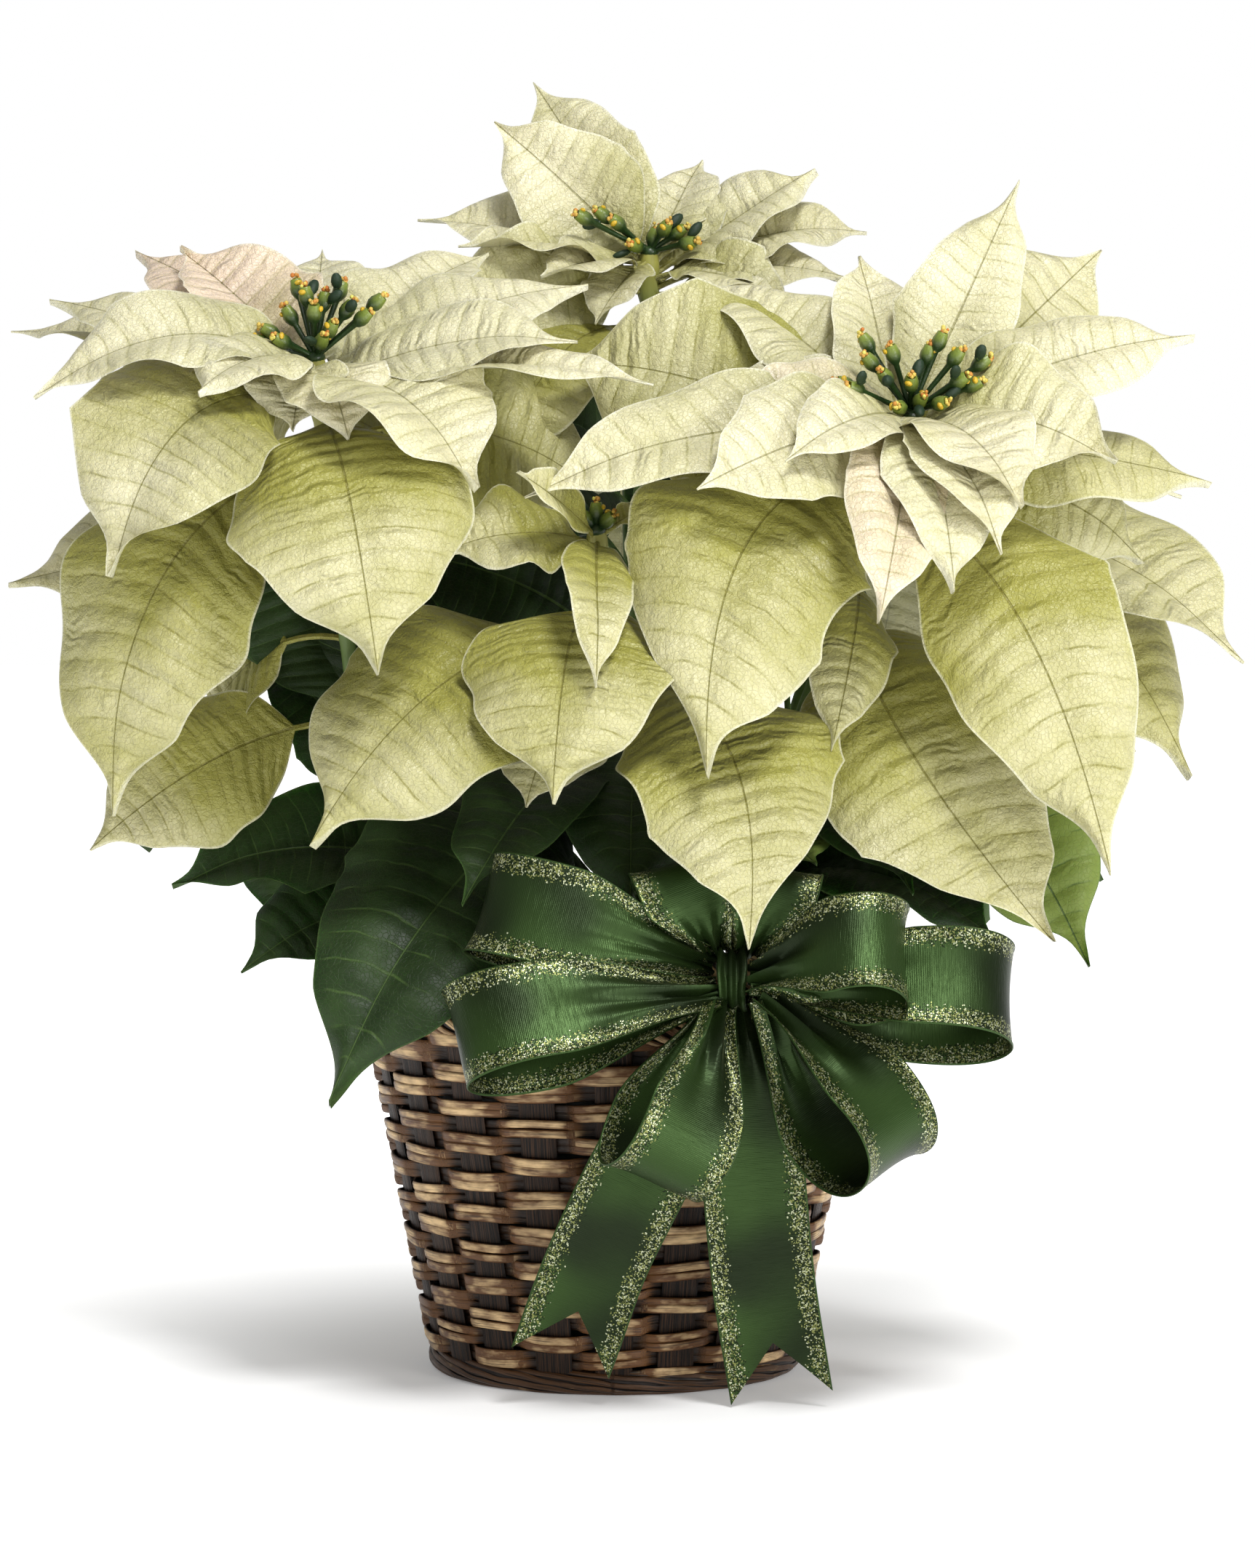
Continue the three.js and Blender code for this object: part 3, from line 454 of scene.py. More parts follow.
def around(angle, radius, z):
    """Points at an angle from the front, a radius from the axis and a height."""
    angle, radius, z = np.broadcast_arrays(angle, radius, z)
    return np.stack([radius * np.sin(angle), -radius * np.cos(angle), z], axis=-1)


def stacked(rings, x, y, z):
    """Three numbers for each point of rings (n, m, 3), as one array."""
    return np.stack([np.broadcast_to(np.asarray(p, float), rings.shape[:2]) for p in (x, y, z)], -1)


def skin(along, tone=0):
    """The attribute that stems, cups and grains are coloured by."""
    return {"skin": np.stack(np.broadcast_arrays(along, tone, 0.0), -1)}


def flat_section(columns):
    """Places round a flat section, from -1 to 1 over its face and back under it, and the side they
    are on: 1 on the face, -1 on the back and 0 at the edges."""
    v = np.linspace(-1, 1, columns + 1)
    side = np.concatenate([[0], np.ones(columns - 1), [0], -np.ones(columns - 1)])
    return np.concatenate([v, v[-2:0:-1]])[None, :], side[None, :]


def outward(points, faces):
    """Faces turned so that the closed shape they make has a volume above zero."""
    a, b, c = (points[faces[:, k]] for k in range(3))
    volume = np.sum(a * np.cross(b, c))
    quads = faces[:, 3] >= 0
    d = points[faces[quads, 3]]
    volume += np.sum(a[quads] * np.cross(c[quads], d))
    if volume >= 0:
        return faces
    turned_faces = faces[:, [2, 1, 0, 3]]
    turned_faces[quads] = faces[quads][:, ::-1]
    return turned_faces


def tube(rings, values=None, finish=0, closed=False, flat_ends=False):
    """A closed shape through rings of points (n, m, 3). Open ends close on the ring's middle, or
    with flat_ends by joining the ring's first half to its second."""
    n, m = rings.shape[:2]
    i = np.arange(n if closed else n - 1)[:, None]
    j = np.arange(m)[None, :]
    k, up = (j + 1) % m, (i + 1) % n
    faces = np.stack(np.broadcast_arrays(i * m + j, i * m + k, up * m + k, up * m + j), -1).reshape(-1, 4)
    flat = {name: np.broadcast_to(v, rings.shape).reshape(-1, 3) for name, v in (values or {}).items()}
    points = rings.reshape(-1, 3)
    last = (n - 1) * m
    if flat_ends and not closed:
        j = np.arange(m // 2)
        foot = np.stack([(m - j) % m, m - j - 1, j + 1, j], -1)
        head = foot[:, ::-1] + last
        foot[0], head[0] = [0, m - 1, 1, -1], [last, last + 1, last + m - 1, -1]
        half = m // 2
        foot[-1], head[-1] = [half - 1, half + 1, half, -1], [last + half - 1, last + half, last + half + 1, -1]
        faces = np.concatenate([faces, foot, head])
    elif not closed:
        points = np.concatenate([points] + [end.mean(0)[None] for end in (rings[0], rings[-1])])
        flat = {name: np.concatenate([v, v[:m].mean(0)[None], v[-m:].mean(0)[None]]) for name, v in flat.items()}
        j, k = np.arange(m), (np.arange(m) + 1) % m
        none = np.full(m, -1)
        foot = np.stack([k, j, np.full(m, n * m), none], -1)
        head = np.stack([last + j, last + k, np.full(m, n * m + 1), none], -1)
        faces = np.concatenate([faces, foot, head])
    return Shape(points, outward(points, faces), flat, finish)


def rod(path, radii, sides, guide=(0.2, 1, 0.1), values=None, finish=0):
    """A round rod: each ring is path + radius (cos a * right + sin a * up)."""
    direction = unit(np.gradient(path, axis=0))
    right = across(np.asarray(guide, float) + 0 * direction, direction)
    up = np.cross(direction, right)
    radii = np.broadcast_to(radii, len(path))[:, None, None]
    ring = spoke(circle(sides)[None, :, None], right[:, None], up[:, None])
    return tube(path[:, None] + radii * ring, values, finish)


def blob(centre, axes, sides, rings, values, finish=0):
    """An egg: centre + sin b (cos a * first axis + sin a * second) + cos b * third."""
    b = np.pi * np.linspace(0.04, 0.96, rings)[:, None, None]
    x, y, z = np.asarray(axes, float)
    points = np.asarray(centre, float) + np.sin(b) * spoke(circle(sides)[None, :, None], x, y) + np.cos(b) * z
    return tube(points, values, finish)


def lathe(profile, sides):
    """Rings about the basket's axis: each radius and height of a profile, carried round."""
    return around(circle(sides)[None, :], profile[:, :1], profile[:, 1:])


def make_piece(name, shapes, finishes, slot, *replaced):
    """One mesh object of shapes, in metres, that rides on the plant's body."""
    counts = np.cumsum([0] + [len(s.points) for s in shapes])
    points = np.concatenate([s.points for s in shapes])
    faces = np.concatenate([np.where(s.faces >= 0, s.faces + at, -1) for s, at in zip(shapes, counts)])
    used = faces >= 0
    corners = used.sum(1)
    mesh = bpy.data.meshes.new(name)
    mesh.vertices.add(len(points))
    mesh.vertices.foreach_set("co", (points * MM).ravel())
    mesh.loops.add(int(corners.sum()))
    mesh.loops.foreach_set("vertex_index", faces[used].astype(np.int32))
    mesh.polygons.add(len(faces))
    mesh.polygons.foreach_set("loop_start", (np.cumsum(corners) - corners).astype(np.int32))
    finish = np.concatenate([np.full(len(s.faces), s.finish, np.int32) for s in shapes])
    mesh.polygons.foreach_set("material_index", finish)
    mesh.polygons.foreach_set("use_smooth", np.ones(len(faces), bool))
    for key in sorted({key for s in shapes for key in s.values}):
        values = [s.values.get(key, np.zeros_like(s.points)) for s in shapes]
        layer = mesh.attributes.new(key, "FLOAT_VECTOR", "POINT")
        layer.data.foreach_set("vector", np.concatenate(values).astype(np.float32).ravel())
    mesh.update(calc_edges=True)
    mesh.set_sharp_from_angle(angle=np.radians(62))
    for material in finishes:
        mesh.materials.append(material)
    piece = bpy.data.objects.new(name, mesh)
    bpy.context.scene.collection.objects.link(piece)
    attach(piece, "root")
    if replaced:
        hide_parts(*replaced)
    return piece


# ---------------------------------------------------------------- blades


def outline(s):
    """Half width over the largest: sin(pi s / 2w)^0.75 up to the widest place w, then 1 - r^2.1
    over the rest r, drawn in to a short drip tip."""
    rest = np.clip((s - WIDEST) / (1 - WIDEST), 0, 1)
    base = np.sin(np.pi / 2 * np.clip(s / WIDEST, 0, 1)) ** 0.75
    point = (1 - rest**2.1) * (1 - 0.62 * smooth((rest - 0.66) / 0.24))
    return np.where(s < WIDEST, base, point)


def blade(root, tip, lift, arch, width, stalk, roll, fold, sweep, age, seed):
    """A stalked bract or leaf as a flat tube along its midrib.

    The midrib is a quadratic curve from root to tip. A point lies at midrib + side * x +
    normal * h, with x = half width * v for v from -1 to 1 and
    h = fold |x| + dome sin(pi |v|) + puff |sin(pi * vein phase)| + wave v^3 sin(...).
    """
    look = chosen("blades")
    rng = np.random.default_rng(seed)
    chord = tip - root
    reach = np.linalg.norm(chord)
    ahead = chord / reach
    raised = across(lift, ahead)
    bend = root + ARCHED_AT * chord + turned(raised, ahead, sweep) * 2 * arch
    start = min(stalk / reach, 0.5)
    rows = int(np.clip(reach * (1 - start) / ROW_STEP, 20, 72))
    s = np.concatenate([np.linspace(-1, 0, 6)[:-1], np.linspace(0, 0.996, rows)])
    middle, direction = bezier([root, bend, tip], np.where(s < 0, start * (1 + s), start + (1 - start) * s))
    side = turned(unit(np.cross(ahead, raised)) + 0 * direction, direction, roll)
    normal = unit(np.cross(side, direction))

    v, face = flat_section(2 * int(np.clip(round(width / 9), 3, 9)))
    s = s[:, None]
    on = np.clip(s, 0, 1)
    blend = smooth(s / 0.07)
    ends = smooth(on / 0.12) * smooth((1 - on) / 0.15)

    # The margin: two slow waves, and up to three keen teeth on either flank.
    phases = rng.uniform(0, 2 * np.pi, 6)
    flank = (v > 0).astype(int)
    ragged = 1 + 0.035 * ends * (np.sin(9 * on + phases[flank]) + 0.8 * np.sin(23 * on + phases[2 + flank]))
    for k in range(rng.integers(0, 4)):
        tooth, depth, keen = rng.uniform([0.32, 0.03, 0.018], [0.68, 0.09, 0.04])
        ahead_of = np.exp(-((np.abs(on - tooth) / keen) ** 1.6)) * np.where(on > tooth, 1, 0.8)
        ragged = ragged + depth * ahead_of * (flank == rng.integers(0, 2))
    half = np.maximum(width / 2 * outline(on) * ragged, np.where(s <= 0, look.stalk_width / MM / 2, 0.35))
    x = half * v

    # The relief: bulges between the side veins, waves of the margin, a dome and a drooping tip.
    slanted = np.clip(on - 0.14 * np.abs(v) ** 1.3 * (1 - on), 0, 1)
    pairs = look.vein_pairs * np.clip(reach / 110, 0.6, 1.15)
    phase = pairs * (1 - (1 - slanted) ** 0.85)
    puff = look.puff * width * (np.abs(np.sin(np.pi * phase)) ** 0.7 - 0.4) * ends
    puff = puff * np.sqrt(np.abs(v)) * (1 - np.abs(v) ** 3)
    wave = look.wave * width * np.abs(v) ** 3 * ends
    wave = wave * np.sin(2 * np.pi * rng.uniform(1.6, 2.6) * on + phases[4 + flank])
    dome = 0.045 * width * outline(on) * np.sin(np.pi * np.abs(v))
    droop = rng.uniform(-0.01, 0.05) * reach * smooth((on - 0.6) / 0.4) ** 2
    cup = rng.uniform(-0.08, 0.06) * width * v**2 * smooth(on / 0.3)
    height = blend * (fold * np.abs(x) + puff + wave + dome + cup) - droop

    # The body: a round stalk that flattens into the blade, with a midrib under it.
    lamina = look.thickness / MM / 2 * np.sqrt(1 - v**6)
    stalk_round = 0.45 * look.stalk_width / MM * np.sqrt(1 - v**2)
    body = face * (stalk_round * (1 - blend) + lamina * blend)
    rib = look.midrib / MM * (1 - 0.85 * on) * np.exp(-((x / 1.1) ** 2)) * blend
    points = middle[:, None] + side[:, None] * x[..., None]
    points = points + normal[:, None] * (height + body - (face < 0) * rib)[..., None]
    values = {
        "vein": stacked(points, phase, np.abs(x), np.where(s <= 0, 9, half - np.abs(x))),
        "skin": stacked(points, s, age, rng.uniform(0, 1)),
        "side": stacked(points, face, v, width),
    }
    return tube(points, values)


# ---------------------------------------------------------------- blooms


def shoot_axis(bloom):
    """The unit direction of a bloom's shoot."""
    return unit(np.array(bloom["up"], float))


def bract(bloom, row, seed):
    """One bract, a blade from `drop` below the shoot's top to its tip. The lower it starts, the
    older it is. A narrow one is folded up along its midrib, and a hanging one is folded down."""
    x, y, z, arch, width, drop, roll, sweep = (row + [0, 0])[:8]
    axis = shoot_axis(bloom)
    root = np.array(bloom["at"]) - axis * drop
    fresh, old = bloom["age"]
    age = fresh + (old - fresh) * smooth((drop - 12) / 14)
    stalk = 9 + 0.5 * min(drop, 40)
    young = smooth((52 - width) / 14)
    fold = 0.07 + 0.16 * young if drop < 19 else -0.10
    fold = fold + 0.08 * np.random.default_rng(seed).uniform(-1, 1)
    width = width * (1 + 0.32 * young)
    return blade(root, np.array([x, y, z], float), axis, arch, width, stalk, roll, fold, sweep, age, seed)


def shoot(bloom):
    """The bare top of a shoot: a tapering rod, thicker by exp(-d^2) at the scar under each bract."""
    t = np.linspace(0, 1, max(12, int(bloom["core"] / 3)))
    path = np.array(bloom["at"]) + np.outer(1.5 - t * (bloom["core"] + 1.5), shoot_axis(bloom))
    radii = CORE_RADIUS + (STEM_TOP_RADIUS - CORE_RADIUS) * t
    for row in bloom["bracts"]:
        at = (row[5] + 1.5) / (bloom["core"] + 1.5)
        radii = radii + 0.35 * np.exp(-(((t - at) * bloom["core"] / 1.6) ** 2))
    return rod(path, radii, 12, values=skin((1 - 0.45 * t)[:, None]), finish=1)


def cup(bloom, offset, seed):
    """A cup on its stalk: the radius along it follows a list of stations. It has stamens in its
    mouth, a lipped gland on its side and, on every second one, a seed bud."""
    look = chosen("cups")
    rng = np.random.default_rng(seed)
    size, radius, stalk = look.length / MM, look.radius / MM, look.stalk / MM
    base = np.array(bloom["at"], float) + shoot_axis(bloom) * 2
    end = np.array(bloom["at"], float) + np.array(offset, float)
    reach = np.linalg.norm(end - base)
    ahead = (end - base) / reach
    right = across(np.array([1, 0.3, 0.1]), ahead)
    up = np.cross(ahead, right)
    neck = reach - size
    stations = np.array([  # distance along the cup, radius, place in the colours
        [0, stalk * 1.1, -0.6], [neck * 0.5, stalk, -0.3], [neck, stalk * 1.25, 0],
        [neck + 0.14 * size, radius * 0.72, 0.2], [neck + 0.34 * size, radius * 0.98, 0.4],
        [neck + 0.56 * size, radius, 0.6], [neck + 0.76 * size, radius * 0.82, 0.8],
        [neck + 0.90 * size, radius * 0.74, 0.95], [neck + 0.95 * size, radius * 0.66, 1],
        [neck + 0.88 * size, radius * 0.5, 1],
    ])[..., None]
    a = circle(12)[None, :, None]
    ribs = 1 + 0.05 * np.cos(5 * a)
    rings = base + stations[:, :1] * ahead + stations[:, 1:2] * ribs * spoke(a, right, up)
    shapes = [tube(rings, skin(stations[:, 2]))]
    for k in range(7):
        turn = 2 * np.pi * (k + rng.uniform(0, 0.6)) / 7
        out = radius * rng.uniform(0.15, 0.5)
        top = base + ahead * (reach + rng.uniform(-0.6, 1.4)) + out * spoke(turn, right, up)
        shapes.append(blob(top, np.eye(3) * rng.uniform(0.7, 1.05), 6, 4, skin(2, rng.uniform())))
    outwards = spoke(rng.uniform(0, 2 * np.pi), right, up)
    gland = base + ahead * (neck + 0.74 * size) + outwards * radius * 0.9
    axes = [np.cross(ahead, outwards) * 1.7, outwards * 1.0, ahead * 1.1]
    shapes.append(blob(gland, axes, 8, 5, skin(1.5)))
    if seed % 2:
        hang = base + ahead * (reach - 0.2 * size) - outwards * radius * 2.1
        drop = unit(ahead * 0.6 - outwards * 0.8)
        wide = np.cross(drop, right) * 2.3
        shapes.append(blob(hang, [wide, np.cross(unit(wide), drop) * 2.3, drop * 4], 10, 7, skin(3)))
        link = np.array([base + ahead * (reach - 0.5 * size) - outwards * radius * k * 0.5 for k in (1.2, 2, 3, 3.6)])
        shapes.append(rod(link, 0.8, 6, values=skin(0.1)))
    return shapes


def seat(bloom):
    """The green cushion that the cups stand on, a flat egg."""
    axis = shoot_axis(bloom)
    right = across(np.array([1.0, 0, 0]), axis)
    centre = np.array(bloom["at"]) + axis * 2.2
    axes = [right * CORE_RADIUS * 1.15, np.cross(axis, right) * CORE_RADIUS * 1.15, axis * 2.6]
    return blob(centre, axes, 14, 8, skin(0.3))


# ---------------------------------------------------------------- stems and green leaves


def shoot_path(start, away, bloom):
    """Control points of the stem from one place to the foot of a bloom's bare shoot."""
    axis = shoot_axis(bloom)
    end = np.array(bloom["at"]) - axis * (bloom["core"] + 0.6)
    reach = 0.4 * np.linalg.norm(end - start)
    return [start, start + away * reach, end - axis * reach * 0.6, end]


def plant_shapes(plant, seed):
    """Stems as tapering rods with swollen leaf joints, exp(-d^2), and the leaves on them."""
    x, y = plant["foot"]
    shapes, paths = [], []
    for i, (bloom, place) in enumerate(plant["shoots"]):
        if i == 0:
            start, away = np.array([x, y, SOIL["crown"] + 2.0]), np.array([0, 0, 1.0])
        else:
            start, away = bezier(paths[0], place)
        paths.append(shoot_path(start, away, BLOOMS[bloom]))
        t = np.linspace(0, 1, 64)
        path, _ = bezier(paths[i], t)
        radii = (STEM_FOOT_RADIUS if i == 0 else STEM_TOP_RADIUS * 1.1) * (1 - t) + STEM_TOP_RADIUS * t
        joints = [leaf[1] for leaf in plant["leaves"] if leaf[0] == i] + [s[1] for s in plant["shoots"][1:] if i == 0]
        for joint in joints:
            radii = radii + 0.8 * np.exp(-(((t - joint) / 0.02) ** 2))
        if i == 0:
            path = np.concatenate([[[x, y, SOIL["crown"] - SOIL["hole"] + 0.6]], path])
            radii, t = np.concatenate([radii[:1], radii]), np.concatenate([[0], t])
        woody = t if i == 0 else 0.4 + 0.6 * t
        shapes.append(rod(path, radii, 12, values=skin((woody * 0.55)[:, None]), finish=1))
    for k, (i, place, *tip, arch, width, roll, young) in enumerate((leaf + [0, 0])[:9] for leaf in plant["leaves"]):
        root, _ = bezier(paths[i], place)
        tip = np.array(tip, float)
        stalk = 0.26 * np.linalg.norm(tip - root)
        shapes.append(blade(root, tip, np.array([0, 0, 1.0]), arch, width, stalk, roll, LEAF_FOLD, 0, young, seed + k))
    return shapes


# ---------------------------------------------------------------- wicker


def wall_radius(z):
    """Middle of the basket's wall, a straight cone."""
    return BASKET["foot"] + (BASKET["rim"] - BASKET["foot"]) * np.asarray(z) / BASKET["wall_top"]


def stake_shape(angle, seed):
    """A flat furrowed stake up the wall: half width with rounded sides, thickness scalloped by
    |sin| furrows across it and swelling a little from height to height."""
    look = chosen("basket")
    rng = np.random.default_rng(seed)
    half, thick = look.stake_width / MM / 2, look.stake_thickness / MM / 2
    z = np.linspace(BASKET["base"] / 2, BASKET["wall_top"] + 1.2, 40)[:, None]
    v, face = flat_section(11)
    wander = 0.5 * np.sin(z / 19 + rng.uniform(0, 6)) + 0.3 * np.sin(z / 7 + rng.uniform(0, 6))
    relief = np.sqrt(1 - v**6) * (0.75 + 0.35 * np.abs(np.sin(3.5 * np.pi * (v + 0.02 * wander))))
    reach = wall_radius(z) + face * thick * relief
    turn = angle + (half * v * (1 + 0.03 * wander) + 0.4 * wander) / wall_radius(z)
    points = around(turn, reach, z)
    return tube(points, {"cane": stacked(points, z, v * half, rng.uniform())})


def plait(middle_radius, middle_height, half_thickness, half_height, turns, worn_and_lit, seed):
    """A rolled border. Strand k follows the oval section at the angle turns * around +
    k / STRANDS of a full turn, so that the strands slant round the roll. Each is a
    flattened oval, and a plain core fills the roll."""
    rng = np.random.default_rng(seed)
    girth = 2 * np.pi * np.hypot(half_thickness, half_height) / np.sqrt(2)
    pitch = girth / STRANDS
    slope = np.arctan2(girth * turns, 2 * np.pi * middle_radius)
    width = pitch * np.cos(slope) * 0.82
    thick = min(0.62 * width, 0.75 * half_thickness)
    shapes = []
    turn = circle(304)
    for k in range(STRANDS):
        waver = sum(a * np.sin(f * turn + rng.uniform(0, 6.3)) for a, f in ((0.10, 5), (0.07, 13), (0.05, 29)))
        section = -turns * turn + 2 * np.pi * k / STRANDS + 0.9 * waver * pitch / half_height
        inset = thick / 2 * (1 + 0.5 * waver)
        radius = middle_radius + (half_thickness - inset) * np.cos(section)
        height = middle_height + (half_height - inset) * np.sin(section)
        path = around(turn, radius, height)
        ahead = unit(np.roll(path, -1, 0) - np.roll(path, 1, 0))
        out = around(turn, np.cos(section) / half_thickness, 0 * turn) * half_height
        out = across(out + np.stack([0 * turn, 0 * turn, np.sin(section)], -1), ahead)
        aside = np.cross(ahead, out)
        a = circle(8)[None, :, None]
        w = (width * (1 + waver) / 2)[:, None, None]
        bulge = np.where(np.sin(a) > 0, 1.0, 0.6) * np.sin(a) * thick / 2
        rings = path[:, None] + aside[:, None] * w * np.cos(a) + out[:, None] * bulge
        rings[..., 2] = np.maximum(rings[..., 2], 0.0)
        length_along = turn * middle_radius / np.cos(slope) + 97 * k
        values = {
            "cane": stacked(rings, length_along[:, None], width * np.cos(a[..., 0]) / 2, rng.uniform()),
            # First number: how far the strand's face turns outward, for its pale crown (rubbed stain and painted
            # highlight); second: sets the whole border from dark to pale.
            "wear": stacked(rings, np.clip(np.sin(a[..., 0]), 0, 1), worn_and_lit, 0),
        }
        shapes.append(tube(rings, values, closed=True))
    # The core has no crown, so it comes out dark: painted shade in the gaps between the strands.
    a = circle(12)
    across_roll = middle_radius + (half_thickness - 0.55 * thick) * np.cos(a)
    core = around(turn[::4, None], across_roll, middle_height + (half_height - 0.55 * thick) * np.sin(a))
    shapes.append(tube(core, {key: stacked(core, 0, 0, 0) for key in ("cane", "wear")}, closed=True))
    return shapes


def weavers():
    """Pairs of half-round canes on one spiral. The pair passes outside one stake and inside the
    next: swing = a * sign(c) |c|^0.3 with c = cos(stakes * angle / 2). One turn more is hidden in
    the foot and two in the rim, where the swing is a quarter. The canes waver, but less so under
    the rim."""
    look = chosen("basket")
    shapes = []
    foot = look.weave_foot / MM
    pitch = (BASKET["wall_top"] - foot) / (look.rows + 1)
    passes = look.stakes * look.rows
    n = (passes + 3 * look.stakes) * STEPS + 1
    turn = np.linspace(-look.stakes, passes + 2 * look.stakes, n) * 2 * np.pi / look.stakes
    float_number = np.floor(turn * look.stakes / (2 * np.pi) + 0.5).astype(int) + look.stakes
    c = np.cos(look.stakes * turn / 2)
    thick = look.cane_thickness / MM
    for k, lift in enumerate((-1, 1)):
        rng = np.random.default_rng(40 + k)
        each = rng.uniform(0, 1, (4, passes + 3 * look.stakes + 2))[:, float_number]
        level = foot + pitch * (0.5 + turn / (2 * np.pi))
        calm = smooth((level - CALM_FROM) / 7)
        half_height = pitch / 4 * (1.10 + 0.3 * (each[1] - 0.5) * (1 - calm) + 0.45 * calm)
        swing = look.swing / MM * np.sign(c) * np.abs(c) ** 0.3 * (0.85 + 0.3 * each[2])
        waver = 0.5 * np.sin(turn * 3.7 + k) + 0.4 * np.sin(turn * 11.3) + 0.8 * (each[2] - 0.5)
        z = level + lift * pitch / 4 * (0.94 + 0.08 * each[3] * np.abs(c)) + waver * (1 - calm)
        z = np.minimum(z, CANE_TOP + 2 * k)
        a = circle(10)[None, :]
        rise = np.sign(np.cos(a)) * np.abs(np.cos(a)) ** 0.8
        out = np.where(np.sin(a) > 0, 0.62, 0.38) * np.sign(np.sin(a)) * np.abs(np.sin(a)) ** 0.65 * thick
        free = smooth((z - SWING_FROM) / 5) * smooth((SWING_TO - z) / 5)
        middle = wall_radius(z) + swing * (0.25 + 0.75 * free)
        height = z[:, None] + rise * half_height[:, None]
        radius = middle[:, None] + out + (wall_radius(height) - wall_radius(z)[:, None])
        rings = around(turn[:, None], radius, height)
        values = {
            "cane": stacked(rings, (turn * 85 + 31 * k)[:, None], rise * half_height[:, None], each[0][:, None]),
            # First number: how far the cane's face turns outward, for its pale crown (rubbed stain and painted
            # highlight); second: above 0 where the cane passes outside a stake and below 0 behind one, for painted
            # shadow there.
            "wear": stacked(rings, np.clip(np.sin(a), 0, 1), c[:, None], 0),
        }
        shapes.append(tube(rings, values))
    return shapes


def basket_base():
    """A flat woven bottom: a lathe whose faces have the ridges |sin|^0.6 of a coiled cane."""
    r = np.linspace(BASKET["foot"] - 2.4, 0.4, 90)
    ridge = 1 - np.abs(np.sin(np.pi * r / COIL)) ** 0.6
    under = np.stack([r, 0.35 * ridge], -1)[::-1]
    profile = np.concatenate([under, np.stack([r, BASKET["base"] - 0.7 * ridge], -1)])
    rings = lathe(profile, 76)
    reach = profile[:, :1]
    values = {"cane": stacked(rings, circle(76) * reach, reach % COIL, 0.3), "wear": stacked(rings, 0.3, 0.4, 0)}
    return tube(rings, values, finish=1)


# ---------------------------------------------------------------- pot and soil


def pot_radius(z):
    """The pot's outer wall, a straight cone."""
    return POT["foot"] + (POT["top"] - POT["foot"]) * (np.asarray(z) - POT["floor"]) / (POT["height"] - POT["floor"])


def grower_pot():
    """A thin moulded pot with a rolled lip, a lathe of one closed profile, with its wall drawn in
    by faint rings every 12 mm."""
    floor, wall, lip_foot = POT["floor"], POT["wall"], POT["height"] - POT["lip_height"]
    z = np.linspace(floor + 1, lip_foot - 0.5, 60)
    ripple = 0.18 * np.cos(z * 2 * np.pi / 12)
    outer = np.stack([pot_radius(z) - 0.2 + ripple, z], -1)
    inner = np.stack([pot_radius(z) - wall + ripple, np.maximum(z, floor + wall)], -1)[::-1]
    a = np.radians(np.linspace(-90, 90, 9))
    half = POT["lip_height"] / 2
    lip = np.stack([POT["lip"] - 1.4 + 1.4 * np.cos(a), lip_foot + half + (half - 0.1) * np.sin(a)], -1)
    foot = [[0.5, floor], [POT["foot"] - 8, floor + 0.3], [POT["foot"] - 2, floor]]
    bottom = [[POT["foot"] - 4, floor + wall], [0.5, floor + wall]]
    return tube(lathe(np.concatenate([foot, outer, lip, inner, bottom]), 96))


def soil_height(share):
    """Top of the potting mix at a share of its radius: a low crown."""
    return SOIL["edge"] + (SOIL["crown"] - SOIL["edge"]) * smooth((1 - share) / 0.5)


def soil_body():
    """Potting mix: a lathe whose top is a low crown, crumpled by seeded waves and grains."""
    rng = np.random.default_rng(7)
    foot = POT["floor"] + POT["wall"] + 0.4
    inset = POT["wall"] + 0.6
    rim = float(pot_radius(SOIL["edge"])) - inset
    wall = [[0.5, foot]] + [[pot_radius(z) - inset, z] for z in (foot, 60, 100)]
    r = np.linspace(rim, 0.5, 58)
    rings = lathe(np.concatenate([wall, np.stack([r, soil_height(r / rim)], -1)]), 150)
    on_top = (np.arange(len(rings)) > len(wall))[:, None]
    x, y = rings[..., 0], rings[..., 1]
    waves = rng.uniform([0.1, 0, 0], [0.9, 6, 6], (14, 3))
    lumps = sum(np.sin(x * f * np.cos(t) + y * f * np.sin(t) + p) / (f * 4) for f, t, p in waves)
    rings[..., 2] += on_top * (0.45 * lumps + rng.uniform(-0.55, 0.45, rings.shape[:2]))
    return tube(rings)


def soil_grains():
    """Bark chips and white perlite, small eggs half sunk into the potting mix."""
    rng = np.random.default_rng(8)
    shapes = []
    for i in range(CHIPS):
        r, turn = 76 * np.sqrt(rng.uniform(0.002, 0.97)), rng.uniform(0, 2 * np.pi)
        perlite = rng.uniform() < 0.22
        size = rng.uniform(0.7, 1.3) if perlite else rng.uniform(1.0, 2.4)
        axes = unit(rng.normal(size=(2, 3)))
        third = unit(np.cross(axes[0], axes[1]))
        axes = [axes[0] * size, np.cross(third, axes[0]) * size * rng.uniform(0.5, 0.9), third * size * 0.5]
        centre = around(turn, r, soil_height(r / 77) + 0.2 * size)
        shapes.append(blob(centre, axes, 6, 4, skin(rng.uniform()), 2 if perlite else 1))
    return shapes


# ---------------------------------------------------------------- bow


def ribbon_section():
    """Places across a ribbon from -1 to 1 and its half thickness there, with wired edges."""
    look = chosen("bow")
    v = np.concatenate([[-1, -0.985, -0.96, -0.94], np.linspace(-0.9, 0.9, 15), [0.94, 0.96, 0.985, 1]])
    wire = 1 - ((np.abs(v) - 0.972) / 0.028) ** 2
    thick = np.maximum(look.thickness * 0.36, look.wire / 2 * np.sqrt(np.clip(wire, 0, 1))) / MM
    thick[[0, -1]] = 0
    return v, thick


